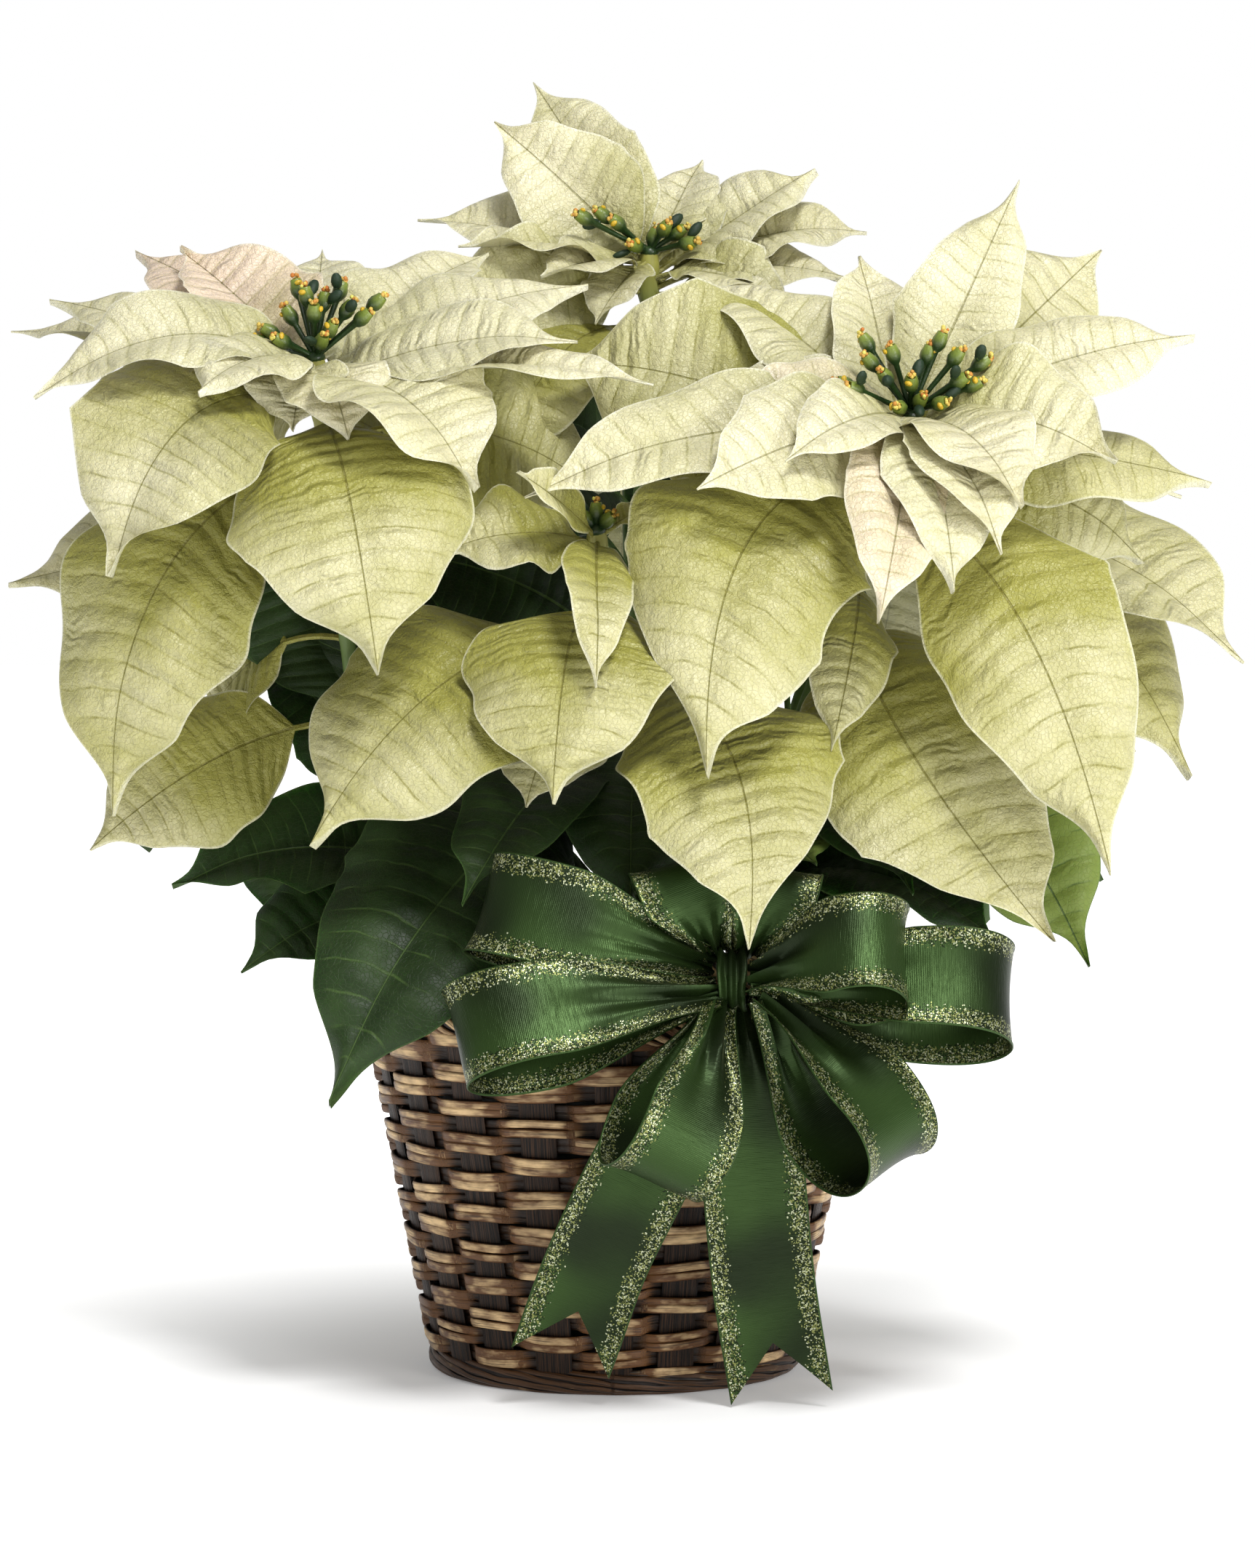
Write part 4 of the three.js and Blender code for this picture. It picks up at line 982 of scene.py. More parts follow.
def ribbon(middle, wide, width, spread, pleats, seed, end=None, closed=False):
    """A ribbon along a middle line, and its length. Point = middle + wide * half width * v +
    normal * h, with h = pleat sin(k pi v) near the knot + crown (1 - v^2) + a slow wave of the
    edges. `end` says where along the line each place across the ribbon lies."""
    rng = np.random.default_rng(seed)
    v, thick = ribbon_section()
    step = np.arange(len(middle))
    places = end(v) if end else np.broadcast_to(step[:, None].astype(float), (len(middle), len(v)))
    if closed:
        gaps = np.linalg.norm(np.roll(middle, -1, 0) - middle, axis=1)
        direction = unit(np.roll(middle, -1, 0) - np.roll(middle, 1, 0))
    else:
        gaps = np.linalg.norm(np.diff(middle, axis=0), axis=1)
        direction = unit(np.gradient(middle, axis=0))
    run = np.concatenate([[0], np.cumsum(gaps)])[:len(middle)]
    wide = across(wide, direction)

    def at(values):
        return np.stack([np.interp(places, step, values[:, k]) for k in range(3)], -1)

    half, tied, along, u = (np.interp(places, step, x) for x in (width / 2 * spread, pleats, run, run / run[-1]))
    p = rng.uniform(0, 6.3, 4)
    fold = tied * 3.0 * np.sin(2.5 * np.pi * v + p[0]) * (1 - 0.3 * np.abs(v))
    crown = 1.2 * (1 - tied) * (1 - v**2) * (1 + 0.5 * np.sin(2.2 * u * np.pi + p[1]))
    edge = 1.3 * (1 - tied) * np.abs(v) ** 3 * np.sin(5.5 * np.pi * u + p[2] + 1.5 * np.sign(v))
    height = fold + crown + edge
    spine, normal = at(middle) + at(wide) * (half * v)[..., None], at(np.cross(wide, direction))
    top, under = (spine + normal * h[..., None] for h in (height + thick, height - thick))
    rings = np.concatenate([top, under[:, -2:0:-1]], 1)
    flat = np.stack([along, v * width / 2 + 0 * along, (1 - np.abs(v)) * width / 2 + 0 * along], -1)
    cloth = np.concatenate([flat, flat[:, -2:0:-1]], 1)
    return tube(rings, {"cloth": cloth}, closed=closed, flat_ends=True), run[-1] + (gaps[-1] if closed else 0)


def pinched(near):
    """Share of the ribbon's width: the pinch at the knot, rising smoothly to 1."""
    pinch = chosen("bow").pinch
    return pinch + (1 - pinch) * smooth(near)


def bow_loop(row, seed):
    """A loop: out from the knot, round its end and back, narrow and pleated where it is tied. The
    middle line is length * sin(pi u) ahead and opening / 2 * sin(2 pi u) aside."""
    look = chosen("bow")
    ahead, wide = unit(np.array(row[:3], float)), np.array(row[3:6], float)
    long, opening = row[6:8]
    wide = across(wide, ahead)
    off = np.cross(ahead, wide)
    u = np.linspace(0, 1, 72)[:, None]
    origin = np.array(KNOT) + np.array(row[8:]) + 5 * ahead
    middle = origin + ahead * (long - 5) * np.sin(np.pi * u) + off * opening / 2 * np.sin(2 * np.pi * u)
    near = np.minimum(u, 1 - u)[:, 0]
    return ribbon(middle, wide + 0 * middle, look.width / MM, pinched(near / 0.22), 1 - smooth(near / 0.24), seed)


def bow_tail(points, seed):
    """A tail: hangs from the knot on a smooth curve and ends in a swallow-tail notch."""
    look = chosen("bow")
    path = spline(np.array(points, float), 90)
    n = len(path)
    reach = np.linalg.norm(np.diff(path, axis=0), axis=1).sum()
    u = np.linspace(0, 1, n)

    def notched(v):
        cut = look.notch / MM / reach * (1 - np.abs(v))[None, :]
        return (u[:, None] - cut * smooth((u[:, None] - 0.72) / 0.28)) * (n - 1)

    wide = np.array([1.0, 0, 0]) + 0 * path
    return ribbon(path, wide, look.width / MM, pinched(u / 0.3), 1 - smooth(u / 0.3), seed, notched)


def bow_knot():
    """The middle: one oval turn of narrow gathered satin round the tied loops."""
    u = np.linspace(0, 2 * np.pi, 49)[:-1, None]
    middle = np.array(KNOT) + spoke(u, np.array([0, KNOT_DEPTH, 0]), np.array([0, 0, KNOT_HEIGHT]))
    wide = np.array([1.0, 0, 0]) + 0 * middle
    spread = 1 + 0.08 * np.sin(3 * u[:, 0])
    shape, reach = ribbon(middle, wide, KNOT_WIDTH, spread, np.full(48, 0.4), 5, closed=True)
    plain = shape.values["cloth"] + np.array([0, 0, 2 * chosen("bow").band / MM])
    return shape._replace(values={"cloth": plain}), reach


def bow_wire():
    """Two thin wires twisted round each other, over the rim from the knot's back."""
    angle = np.arctan2(KNOT[0], -KNOT[1])
    outside, inside, over = BASKET["rim"] + 7.75, BASKET["rim"] - 6.95, BASKET["height"] + 3
    route = [
        (outside + 2, KNOT[2] - 6), (outside, over - 4), (outside - 4, over), (inside + 4, over),
        (inside, over - 4), (inside - 1, over - 12),
    ]
    path = spline(np.array([around(angle, r, z) for r, z in route]), 110)
    direction = unit(np.gradient(path, axis=0))
    sideways = (np.cos(angle), np.sin(angle), 0)
    right = across(np.array(sideways) + 0 * path, direction)
    up = np.cross(direction, right)
    turn = np.linspace(0, 14 * np.pi, len(path))[:, None]
    return [rod(path + 0.45 * spoke(turn + k, right, up), 0.47, 8, sideways) for k in (0, np.pi)]


# ---------------------------------------------------------------- finishes


class Finish:
    """The nodes of one finish. Numbers, colours and sockets can stand for each other, and `base`
    is the colour so far."""

    def __init__(self, name, base, **fixed):
        self.base = base
        self.material = bpy.data.materials.new(name)
        self.material.use_nodes = True
        self.tree = self.material.node_tree
        self.shader = self.tree.nodes["Principled BSDF"]
        for socket, value in fixed.items():
            self.put(self.shader.inputs[socket.replace("_", " ")], value)

    def put(self, socket, value):
        """A number, colour or socket into an input."""
        if isinstance(value, bpy.types.NodeSocket):
            self.tree.links.new(value, socket)
        elif socket.type == "RGBA" and len(value) == 3:
            socket.default_value = (*value, 1)
        else:
            socket.default_value = value

    def node(self, kind, inputs=(), **settings):
        """A new node with its inputs and settings."""
        node = self.tree.nodes.new(kind)
        for key, value in settings.items():
            setattr(node, key, value)
        for key, value in dict(inputs).items():
            self.put(node.inputs[key], value)
        return node

    def math(self, operation, *values, clamp=False):
        """One operation on one or two numbers."""
        return self.node("ShaderNodeMath", enumerate(values), operation=operation, use_clamp=clamp).outputs[0]

    def total(self, *values):
        """Sum, kept from 0 to 1."""
        return self.math("ADD", reduce(lambda a, b: self.math("ADD", a, b), values), 0, clamp=True)

    def times(self, *values):
        """Product."""
        return reduce(lambda a, b: self.math("MULTIPLY", a, b), values)

    def about(self, value, amount):
        """A number from 0 to 1 as a push either way: (value - 0.5) * amount."""
        return self.times(self.math("SUBTRACT", value, 0.5), amount)

    def rise(self, value, low, high, to_low=0.0, to_high=1.0):
        """A smooth step from low to high, either way round."""
        if low > high:
            low, high, to_low, to_high = high, low, to_high, to_low
        inputs = {"Value": value, "From Min": low, "From Max": high, "To Min": to_low, "To Max": to_high}
        return self.node("ShaderNodeMapRange", inputs, interpolation_type="SMOOTHSTEP").outputs[0]

    def mix(self, share, first, second):
        """first (1 - share) + second share."""
        inputs = {0: share, 6: first, 7: second}
        return self.node("ShaderNodeMix", inputs, data_type="RGBA", clamp_factor=True).outputs[2]

    def paint(self, share, colour):
        """A share of a colour over the base."""
        self.base = self.mix(share, self.base, colour)

    def read(self, name):
        """The three numbers of an attribute."""
        vector = self.node("ShaderNodeAttribute", attribute_name=name).outputs["Vector"]
        return self.node("ShaderNodeSeparateXYZ", {0: vector}).outputs

    def vector(self, x, y, z):
        """Three numbers as one place in a pattern."""
        return self.node("ShaderNodeCombineXYZ", {0: x, 1: y, 2: z}).outputs[0]

    def place(self, x=1.0, y=1.0, z=1.0):
        """Object coordinates, stretched."""
        where = self.node("ShaderNodeTexCoord").outputs["Object"]
        return self.node("ShaderNodeMapping", {"Vector": where, "Scale": (x, y, z)}).outputs[0]

    def noise(self, vector, scale, detail=2.0, rough=0.5):
        """Noise at the places of a vector."""
        inputs = {"Vector": vector, "Scale": scale, "Detail": detail, "Roughness": rough}
        return self.node("ShaderNodeTexNoise", inputs).outputs["Fac"]

    def grain(self, *noise):
        """Noise all through the object."""
        return self.noise(self.place(), *noise)

    def cells(self, scale, feature="F1"):
        """Distance from the middles or to the borders of cells all through the object."""
        inputs = {"Vector": self.place(), "Scale": scale}
        return self.node("ShaderNodeTexVoronoi", inputs, feature=feature).outputs["Distance"]

    def bump(self, *heights):
        """Heights, each (value, depth in millimetres), added up as one bump."""
        total = reduce(lambda a, b: self.math("ADD", a, b), [self.times(*height) for height in heights])
        bump = self.node("ShaderNodeBump", {"Height": total, "Distance": MM, "Strength": 1.0})
        self.put(self.shader.inputs["Normal"], bump.outputs[0])

    def done(self, roughness):
        """The material, with its colour and roughness in place."""
        self.put(self.shader.inputs["Base Color"], self.base)
        self.put(self.shader.inputs["Roughness"], roughness)
        return self.material


def vein_lines(f, width, strength):
    """Side veins where the phase is whole and the midrib, both from 0 to 1, the bulges between
    the side veins, and the net of the finest veins."""
    phase, rib, edge = f.read("vein")
    along = f.read("skin")[0]
    drift = f.grain(55)
    phase = f.math("ADD", phase, f.about(drift, 0.5))
    near = f.math("PINGPONG", phase, 0.5)
    faint = f.rise(f.grain(90), 0.35, 0.65, 0.1, 1.0)
    side = f.times(f.rise(near, width, 0.3 * width), f.rise(edge, 0.3, 7.0), faint)
    reach = f.times(f.rise(along, 0, 1, 1.0, 0.35), strength)
    middle = f.rise(f.math("DIVIDE", rib, reach), 1.0, 0.45)
    uneven = f.rise(f.grain(38), 0.35, 0.65, 0.25, 1.0)
    bulge = f.times(f.rise(near, 0, 0.42), uneven, f.rise(rib, 30, 6, 0.45, 1.0), f.rise(edge, 0, 5, 0.2, 1))
    creases = f.math("SINE", f.math("ADD", f.times(phase, 12.57), f.times(drift, 22.0)))
    creases = f.times(creases, f.rise(f.grain(60), 0.48, 0.7), f.rise(edge, 0, 6, 0, 1))
    fine = f.rise(f.cells(520, "DISTANCE_TO_EDGE"), 0.10, 0.01)
    return side, middle, bulge, creases, fine, edge, along


def bract_finish():
    """Cream bract: olive towards its base and with age, thin olive veins, painted shade in the grooves along the
    veins, and a pale margin that is partly its own pale edge and partly painted highlight.
    """
    look = chosen("blades")
    f = Finish(
        "cream bract", look.cream,
        Subsurface_Weight=0.12, Subsurface_Radius=(0.0018, 0.0015, 0.0006), Subsurface_Scale=1.0,
    )
    side, middle, bulge, creases, fine, edge, along = vein_lines(f, 0.065, 0.75)
    _, age, tint = f.read("skin")
    face, _, width = f.read("side")
    cloud = f.grain(26, 3)
    f.paint(f.times(f.rise(tint, 0.75, 0.95, 0, 0.8), f.rise(age, 0.25, 0)), look.blush)
    from_base = f.times(f.rise(along, 0.85, -0.05), f.rise(age, 0, 1, 0.5, 1.1))
    blotches = f.about(cloud, 1.1), f.about(f.grain(140, 3, 0.6), 0.3)
    f.paint(f.total(from_base, f.times(age, 0.66), *blotches), look.olive)
    lines = f.times(side, f.rise(age, 0, 1, 0.38, 0.72)), f.times(middle, f.rise(age, 0, 1, 0.55, 0.85))
    f.paint(f.total(*lines, f.times(fine, 0.10)), look.bract_vein)
    # Painted shade: a little olive in the grooves along the veins, where the bulges dip.
    f.paint(f.rise(bulge, 0.12, 0.0, 0, 0.16), look.olive)
    # Pale margin: partly the bract's own pale edge and partly a painted highlight along it.
    f.paint(f.times(f.rise(edge, 1.2, 0.3), 0.4), (0.84, 0.82, 0.66))
    f.paint(f.rise(face, 0, -1, 0, 0.35), (0.58, 0.57, 0.40))
    f.paint(f.times(f.rise(f.cells(210), 0.055, 0.03), f.rise(cloud, 0.5, 0.6), 0.5), linear(0.42, 0.38, 0.20))
    f.bump(
        (f.times(bulge, f.rise(width, 35, 90, 0.8, 1.6)), 1.0), (creases, 0.35), (side, -0.05), (middle, -0.3),
        (fine, -0.12), (cloud, 1.5), (f.times(f.grain(150, 3, 0.6), f.rise(width, 35, 90, 0.7, 1.0)), 1.6),
        (f.grain(430, 3, 0.6), 0.8),
    )
    return f.done(f.rise(cloud, 0.3, 0.7, 0.32, 0.46))


def leaf_finish():
    """Dark green leaf: lighter veins pressed into it, a paler under side and a thin pale edge."""
    look = chosen("blades")
    f = Finish(
        "green leaf", look.green, Specular_IOR_Level=0.2,
        Subsurface_Weight=0.05, Subsurface_Radius=(0.001, 0.003, 0.0008), Subsurface_Scale=1.0,
    )
    side, middle, bulge, creases, fine, edge, along = vein_lines(f, 0.06, 1.0)
    _, young, tint = f.read("skin")
    cloud = f.grain(40, 3)
    f.paint(f.total(f.rise(cloud, 0.35, 0.75, 0, 0.35), f.times(tint, 0.15)), look.pale_green)
    f.paint(young, linear(0.44, 0.50, 0.23))
    f.paint(f.rise(along, 0.1, -0.3), look.stem)
    f.paint(f.total(f.times(side, 0.75), f.times(middle, 0.9), f.times(fine, 0.12)), look.leaf_vein)
    f.paint(f.rise(edge, 0.8, 0.3, 0, 0.5), look.pale_green)
    f.paint(f.rise(f.read("side")[0], 0, -1, 0, 0.6), look.pale_green)
    f.paint(f.times(f.rise(f.cells(160), 0.05, 0.03), 0.4), look.leaf_vein)
    f.bump((bulge, 0.6), (creases, 0.10), (side, -0.15), (middle, -0.3), (fine, -0.07), (f.grain(400, 4), 0.15))
    return f.done(f.rise(cloud, 0.3, 0.7, 0.38, 0.52))


def stem_finish():
    """Stem: woody at its foot, green above, cream-green under the bracts, with lengthwise streaks."""
    look = chosen("blades")
    f = Finish(
        "poinsettia stem", look.bark,
        Subsurface_Weight=0.1, Subsurface_Radius=(0.001, 0.002, 0.0005), Subsurface_Scale=1.0,
    )
    along = f.read("skin")[0]
    streak = f.noise(f.place(1, 1, 0.12), 500, 3)
    f.paint(f.rise(along, 0.16, 0.34), look.stem)
    f.paint(f.rise(along, 0.6, 1.0), look.olive)
    f.paint(f.rise(streak, 0.45, 0.75, 0, 0.35), linear(0.24, 0.24, 0.12))
    f.bump((streak, 0.25), (f.grain(1300), 0.06))
    return f.done(f.rise(streak, 0.3, 0.7, 0.45, 0.65))


def cup_finish():
    """Flower cup: green, yellow at the mouth, with pollen, a glossy gland and a dark bud."""
    look = chosen("cups")
    f = Finish(
        "flower cup", look.green,
        Subsurface_Weight=0.15, Subsurface_Radius=(0.0015, 0.0015, 0.0005), Subsurface_Scale=1.0,
    )
    rise, tone, _ = f.read("skin")
    f.paint(f.rise(rise, 0.25, 0.95), look.lip)
    f.paint(f.rise(rise, 1.3, 1.45), linear(0.80, 0.66, 0.16))
    f.paint(f.rise(rise, 1.7, 1.8), f.mix(tone, look.pollen, linear(0.86, 0.82, 0.40)))
    f.paint(f.rise(rise, 2.6, 2.8), look.bud)
    spots = f.grain(1200)
    f.paint(f.rise(spots, 0.5, 0.75, 0, 0.3), look.green)
    f.bump((spots, 0.18))
    return f.done(f.rise(rise, 1.2, 2.0, 0.35, 0.6))


def cane_finish():
    """Stained half-round cane: fibres along it, a pale crown that is partly rubbed stain and partly
    painted highlight, and dark edges and dives behind the stakes that are partly stain and partly painted shade."""
    look = chosen("basket")
    f = Finish("stained cane", look.tan, Specular_IOR_Level=0.35)
    along, aside, tone = f.read("cane")
    crown, outside, _ = f.read("wear")
    fibres = f.noise(f.vector(f.times(along, 0.05), f.times(aside, 2.2), f.times(tone, 30)), 1.0, 4, 0.6)
    patch = f.noise(f.vector(f.times(along, 0.12), f.times(aside, 0.3), f.times(tone, 60)), 1.0, 3)
    # Where the cane's crown faces out and passes outside a stake: partly rubbed stain, partly painted highlight.
    worn_and_lit = f.times(f.rise(crown, 0.25, 0.9), f.rise(outside, 0.1, 0.75))
    f.paint(f.total(f.times(worn_and_lit, 0.7), f.times(tone, 0.7), f.about(patch, 2.4), -0.66), look.pale)
    # Dark on the cane's upper and lower edges and where it passes behind a stake: partly stain, partly painted shade
    # in the crevices and painted shadow behind the stakes.
    sides = f.rise(crown, 0.42, 0.04, 0, 0.9), f.rise(outside, 0.1, -0.5, 0, 0.9)
    f.paint(f.total(*sides, f.rise(fibres, 0.5, 0.68, 0, 0.7)), look.dark)
    f.bump((fibres, 0.35), (patch, 0.3))
    return f.done(f.rise(patch, 0.3, 0.7, 0.34, 0.5))


def stake_finish():
    """Dark furrowed stake: fibres up its length."""
    look = chosen("basket")
    f = Finish("dark stake", look.stake_dark, Specular_IOR_Level=0.2)
    along, aside, tone = f.read("cane")
    fibres = f.noise(f.vector(f.times(along, 0.035), f.times(aside, 1.6), f.times(tone, 40)), 1.0, 4, 0.65)
    f.paint(f.rise(fibres, 0.4, 0.7), look.stake_pale)
    f.bump((fibres, 0.5))
    return f.done(f.rise(fibres, 0.3, 0.7, 0.55, 0.42))


def ribbon_finish():
    """Green satin, patched brighter and duller along its length as painted light and shade, with a fine
    weave across it, and a band of glitter along each edge: cells with a colour and a tilt of their own,
    thinner towards the band's inner side."""
    look = chosen("bow")
    f = Finish("satin ribbon", look.satin_dark, Metallic=0.6, Specular_IOR_Level=0.3)
    along, aside, edge = f.read("cloth")
    flat = f.vector(along, aside, 0.0)
    flake = f.node("ShaderNodeTexVoronoi", {"Vector": flat, "Scale": 2.0})
    tone, turn, pick = f.node("ShaderNodeSeparateColor", {0: flake.outputs["Color"]}).outputs
    band = look.band / MM
    density = f.rise(f.math("ADD", edge, f.about(f.noise(flat, 0.25, 3), 5.0)), band * 1.25, band * 0.55)
    lit = f.times(f.math("LESS_THAN", pick, f.times(density, 0.78)), f.rise(edge, 0.4, 0.9))
    # Painted light and shade: slow patches of brighter and duller satin along the ribbon.
    slow = f.noise(f.vector(f.times(along, 0.022), f.times(aside, 0.02), 0.0), 1.0, 1)
    f.paint(f.rise(slow, 0.35, 0.65), look.satin)
    flakes = f.mix(f.rise(tone, 0.48, 0.58), look.satin_dark, look.gold)
    f.paint(lit, f.mix(f.rise(tone, 0.80, 0.86), flakes, look.silver))
    f.paint(f.rise(edge, 0.9, 0.4), look.satin)
    weave = f.math("SINE", f.times(along, 9.0))
    threads = f.noise(f.vector(f.times(along, 3), f.times(aside, 0.15), 0), 1, 2)
    f.bump((f.times(turn, lit), 0.35), (weave, 0.02), (threads, 0.10))
    return f.done(f.rise(lit, 0, 1, 0.36, 0.32))


def plastic_finish():
    """Thin moulded plastic with a fine grain and a little dust."""
    f = Finish("pot plastic", chosen("pot").plastic)
    grain = f.grain(700, 3)
    f.paint(f.rise(f.grain(30, 3), 0.5, 0.8, 0, 0.35), linear(0.30, 0.29, 0.24))
    f.bump((grain, 0.05))
    return f.done(f.rise(grain, 0.3, 0.7, 0.38, 0.55))


def peat_finish():
    """Damp peat with darker hollows and pale fibres."""
    f = Finish("potting mix", chosen("pot").peat)
    lumps = f.grain(260, 5, 0.65)
    fibres = f.rise(f.noise(f.place(1, 0.25, 1), 900, 3), 0.62, 0.72)
    f.paint(f.rise(lumps, 0.35, 0.7), chosen("pot").bark)
    f.paint(f.times(fibres, 0.35), linear(0.5, 0.38, 0.25))
    f.bump((lumps, 1.2), (fibres, 0.3))
    return f.done(0.92)


def chip_finish(name, own, depth):
    """Bark chips and perlite: their own colour, roughened."""
    f = Finish(name, own)
    grain = f.grain(1500, 3)
    tone = f.times(f.read("skin")[0], 0.5)
    f.paint(f.total(tone, f.rise(grain, 0.4, 0.8, 0, 0.4)), tuple(0.5 * c for c in own))
    f.bump((grain, depth))
    return f.done(0.85)


def wire_finish():
    """Painted wire, scuffed bright in places."""
    f = Finish("florist wire", chosen("pot").wire, Metallic=0.3)
    scuff = f.rise(f.grain(500, 3), 0.6, 0.7)
    f.paint(scuff, linear(0.62, 0.63, 0.60))
    f.bump((scuff, -0.03))
    return f.done(f.rise(scuff, 0, 1, 0.45, 0.3))


# ---------------------------------------------------------------- operators


class BuildBracts(bpy.types.Operator):
    """Build the cream bracts and the bare shoot top of every bloom"""

    bl_idname = "poinsettia.bracts"
    bl_label = "Bracts"

    def execute(self, context):
        finishes = [bract_finish(), stem_finish()]
        for i, (name, bloom) in enumerate(BLOOMS.items()):
            shapes = [bract(bloom, row, 100 * i + k) for k, row in enumerate(bloom["bracts"])]
            make_piece(f"bracts_{name}", shapes + [shoot(bloom)], finishes, "cream_bract", f"bloom_{name}_bracts")
        return {"FINISHED"}


class BuildCyathia(bpy.types.Operator):
    """Build the cluster of flower cups in the middle of every bloom"""

    bl_idname = "poinsettia.cyathia"
    bl_label = "Flower cups"

    def execute(self, context):
        finishes = [cup_finish()]
        for i, (name, bloom) in enumerate(BLOOMS.items()):
            shapes = [seat(bloom)]
            for k, offset in enumerate(bloom["cups"]):
                shapes += cup(bloom, offset, 50 * i + k)
            make_piece(f"cyathia_{name}", shapes, finishes, "flower_cup", f"bloom_{name}_cyathia")
        return {"FINISHED"}


class BuildFoliage(bpy.types.Operator):
    """Build the stems and green leaves of the three plants"""

    bl_idname = "poinsettia.foliage"
    bl_label = "Stems and leaves"

    def execute(self, context):
        finishes = [leaf_finish(), stem_finish()]
        for i, (name, plant) in enumerate(PLANTS.items()):
            shapes = plant_shapes(plant, 900 + 30 * i)
            make_piece(f"foliage_{name}", shapes, finishes, "green_leaf", f"plant_{name}")
        return {"FINISHED"}


class BuildBasket(bpy.types.Operator):
    """Build the wicker basket: base, stakes, foot, woven canes and rolled rim"""

    bl_idname = "poinsettia.basket"
    bl_label = "Basket"

    def execute(self, context):
        stakes = context.scene.poinsettia_basket.stakes
        cane, stake = cane_finish(), stake_finish()
        shapes = [stake_shape(2 * np.pi * k / stakes, 300 + k) for k in range(stakes)]
        make_piece("basket_stakes", shapes + [basket_base()], [stake, cane], "stained_cane", "basket_frame")
        # The sixth number of a border darkens all its strands below 0 and pales them above 0: the foot is dark, the
        # rim pale.
        make_piece("basket_foot", plait(BASKET["foot"], 5, 4.2, 5, 2, -0.2, 21), [cane], "stained_cane")
        make_piece("basket_canes", weavers(), [cane], "woven_cane", "basket_weave")
        half = (BASKET["height"] - BASKET["wall_top"] - 0.4) / 2 - 0.2
        rim = plait(BASKET["rim"], BASKET["wall_top"] + 0.4 + 1.05 * half, 5.2, half, 8, 0.6, 22)
        make_piece("basket_border", rim, [cane], "rolled_cane", "basket_rim")
        return {"FINISHED"}


class BuildPot(bpy.types.Operator):
    """Build the grower pot and its potting mix"""

    bl_idname = "poinsettia.pot"
    bl_label = "Pot and potting mix"

    def execute(self, context):
        look = context.scene.poinsettia_pot
        make_piece("grower_pot", [grower_pot()], [plastic_finish()], "pot_plastic", "nursery_pot")
        finishes = [
            peat_finish(), chip_finish("bark chips", look.bark, 0.4), chip_finish("perlite", look.perlite, 0.3)
        ]
        make_piece("potting_mix", [soil_body()] + soil_grains(), finishes, "potting_mix", "potting_soil")
        return {"FINISHED"}


class BuildBow(bpy.types.Operator):
    """Build the ribbon bow, piece by piece, and the wire that hangs it on the rim"""

    bl_idname = "poinsettia.bow"
    bl_label = "Bow"

    def execute(self, context):
        satin = ribbon_finish()
        shape, reach = bow_knot()
        knot = make_piece("bow_knot", [shape], [satin], "satin_ribbon", "bow_ribbon")
        for k, row in enumerate(LOOPS):
            shape, reach = bow_loop(row, 60 + k)
            loop = make_piece(f"bow_loop_{k + 1}", [shape], [satin], "satin_ribbon")
        for k, points in enumerate(TAILS):
            shape, reach = bow_tail(points, 80 + k)
            tail = make_piece(f"bow_tail_{k + 1}", [shape], [satin], "satin_ribbon")
        make_piece("bow_hanger", bow_wire(), [wire_finish()], "florist_wire", "bow_wire")
        return {"FINISHED"}


def place_in_scene(scene, name, data, place, target):
    """A light or camera at one point that looks at another."""
    thing = bpy.data.objects.new(name, data)
    thing.location = place
    thing.rotation_euler = (Vector(target) - Vector(place)).to_track_quat("-Z", "Y").to_euler()
    scene.collection.objects.link(thing)
    return thing


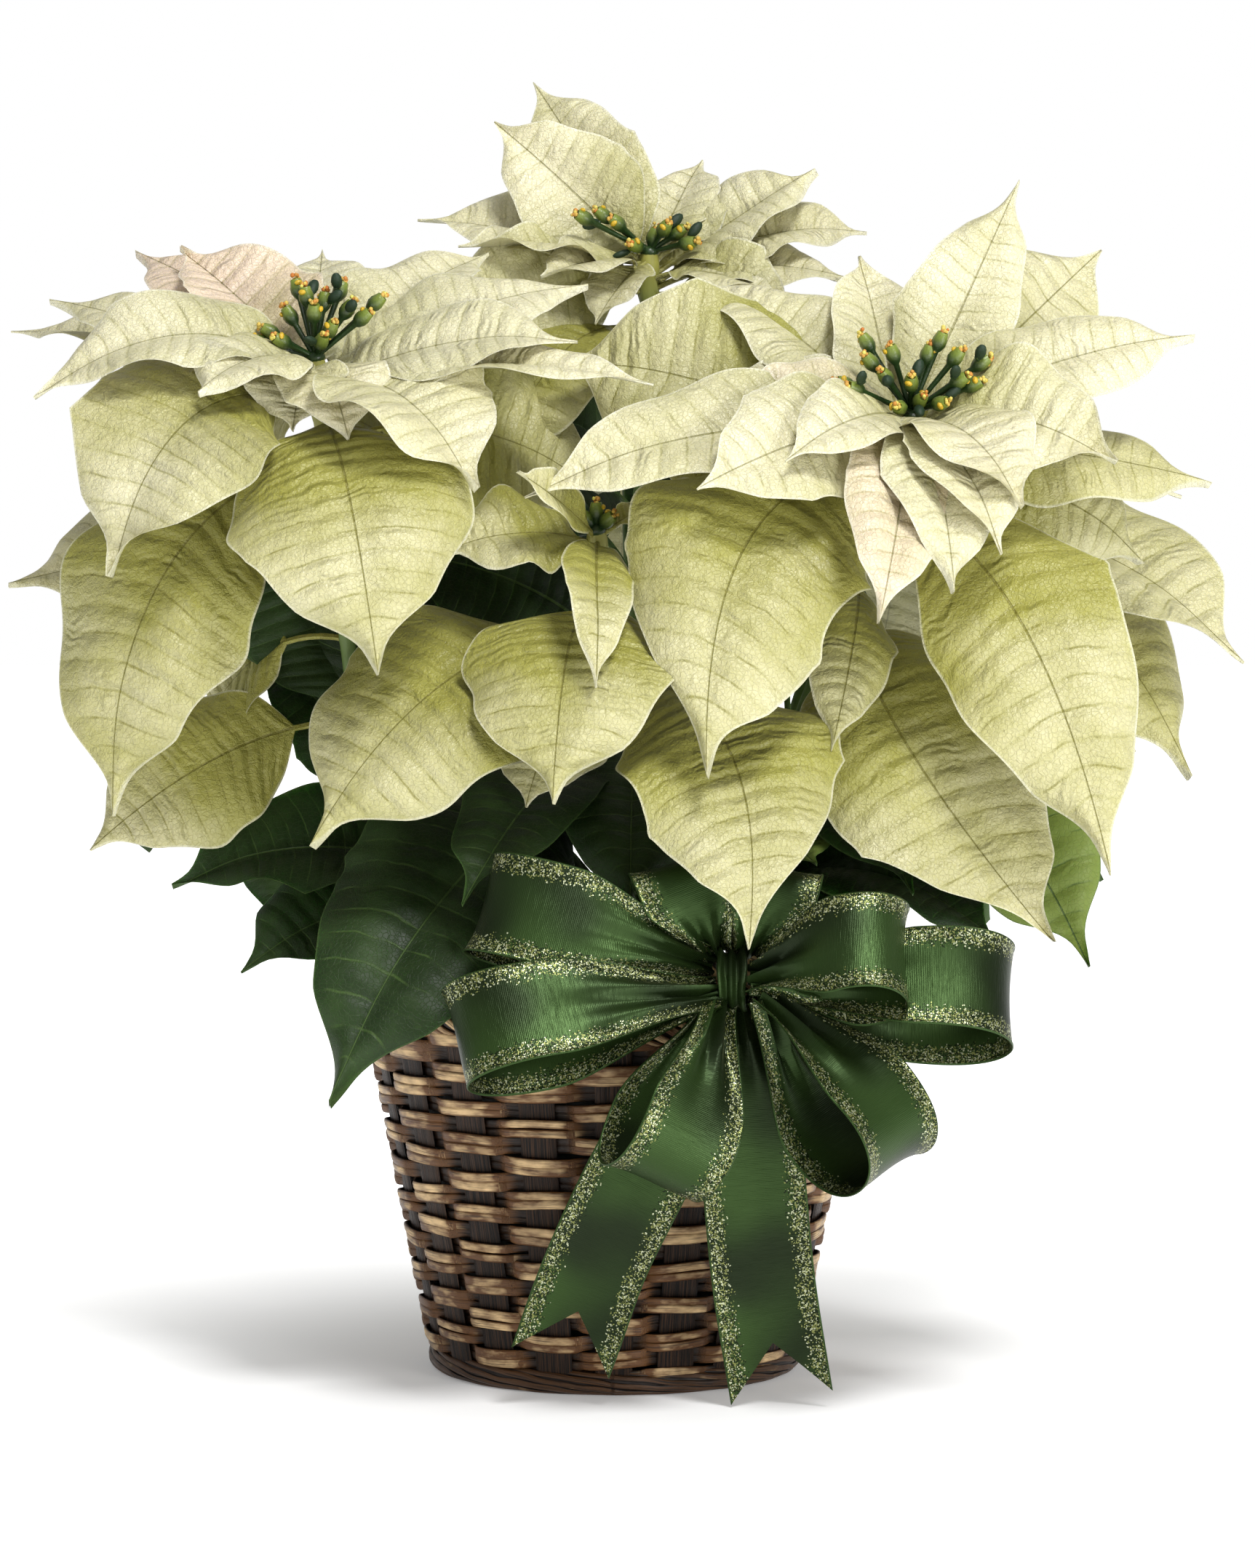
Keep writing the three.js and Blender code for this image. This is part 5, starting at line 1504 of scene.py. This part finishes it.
class BuildStage(bpy.types.Operator):
    """Build the pale floor, which glows as painted light away from the basket, the soft lights and the camera"""

    bl_idname = "poinsettia.stage"
    bl_label = "Stage"

    def execute(self, context):
        scene = context.scene
        look = scene.poinsettia_stage
        side = look.floor / 2
        mesh = bpy.data.meshes.new("floor")
        mesh.from_pydata([(-side, -side, 0), (side, -side, 0), (side, side, 0), (-side, side, 0)], [], [(0, 1, 2, 3)])
        floor = bpy.data.objects.new("floor", mesh)
        scene.collection.objects.link(floor)
        f = Finish("pale floor", look.floor_colour, Emission_Color=(1, 1, 1))
        # Painted light: the floor glows weakly beside the basket and strongly further out, so it turns white away from
        # the basket's shadow.
        away = f.node("ShaderNodeVectorMath", {0: f.place()}, operation="LENGTH").outputs["Value"]
        f.put(f.shader.inputs["Emission Strength"], f.rise(away, 0.08, 0.40, 0.18, 0.9))
        mesh.materials.append(f.done(0.8))

        world = bpy.data.worlds.new("soft white surroundings")
        world.use_nodes = True
        nodes, links = world.node_tree.nodes, world.node_tree.links
        strength = nodes.new("ShaderNodeMapRange")
        strength.inputs["To Min"].default_value = look.sky
        strength.inputs["To Max"].default_value = 1.0
        links.new(nodes.new("ShaderNodeLightPath").outputs["Is Camera Ray"], strength.inputs["Value"])
        links.new(strength.outputs[0], nodes["Background"].inputs["Strength"])
        nodes["Background"].inputs["Color"].default_value = (1, 1, 1, 1)
        scene.world = world
        for name, place, size in LAMPS:
            light = bpy.data.lights.new(name, "AREA")
            light.energy, light.size = getattr(look, name), size
            place_in_scene(scene, name, light, place, LIT)

        data = bpy.data.cameras.new("camera")
        data.sensor_fit, data.sensor_height = "VERTICAL", 36
        data.lens = 36 * look.distance / look.view_height
        eye, target = (look.side, -look.distance, look.height), (look.side, 0, look.aim)
        scene.camera = place_in_scene(scene, "camera", data, eye, target)
        scene.view_settings.view_transform = "Standard"
        return {"FINISHED"}


BUILDERS = [BuildStage, BuildBasket, BuildPot, BuildBow, BuildFoliage, BuildBracts, BuildCyathia]


class PoinsettiaPanel(bpy.types.Panel):
    """Lists the builders and their settings"""

    bl_idname = "VIEW3D_PT_poinsettia"
    bl_label = "Poinsettia"
    bl_space_type = "VIEW_3D"
    bl_region_type = "UI"
    bl_category = "Poinsettia"

    def draw(self, context):
        for builder in BUILDERS:
            self.layout.operator(builder.bl_idname)
        for name, kind in SETTINGS.items():
            box = self.layout.box()
            box.label(text=kind.__doc__)
            for key in kind.__annotations__:
                box.prop(getattr(context.scene, name), key)


def register():
    """Add the settings, operators and panel to Blender."""
    for kind in [*SETTINGS.values(), *BUILDERS, PoinsettiaPanel]:
        bpy.utils.register_class(kind)
    for name, kind in SETTINGS.items():
        setattr(bpy.types.Scene, name, PointerProperty(type=kind))


def unregister():
    """Take them out again."""
    for name in SETTINGS:
        delattr(bpy.types.Scene, name)
    for kind in [PoinsettiaPanel, *reversed(BUILDERS), *reversed(SETTINGS.values())]:
        bpy.utils.unregister_class(kind)


def main():
    """Build every piece."""
    register()
    bpy.ops.poinsettia.stage()
    bpy.ops.poinsettia.basket()
    bpy.ops.poinsettia.pot()
    bpy.ops.poinsettia.bow()
    bpy.ops.poinsettia.foliage()
    bpy.ops.poinsettia.bracts()
    bpy.ops.poinsettia.cyathia()


if __name__ == "__main__":
    main()
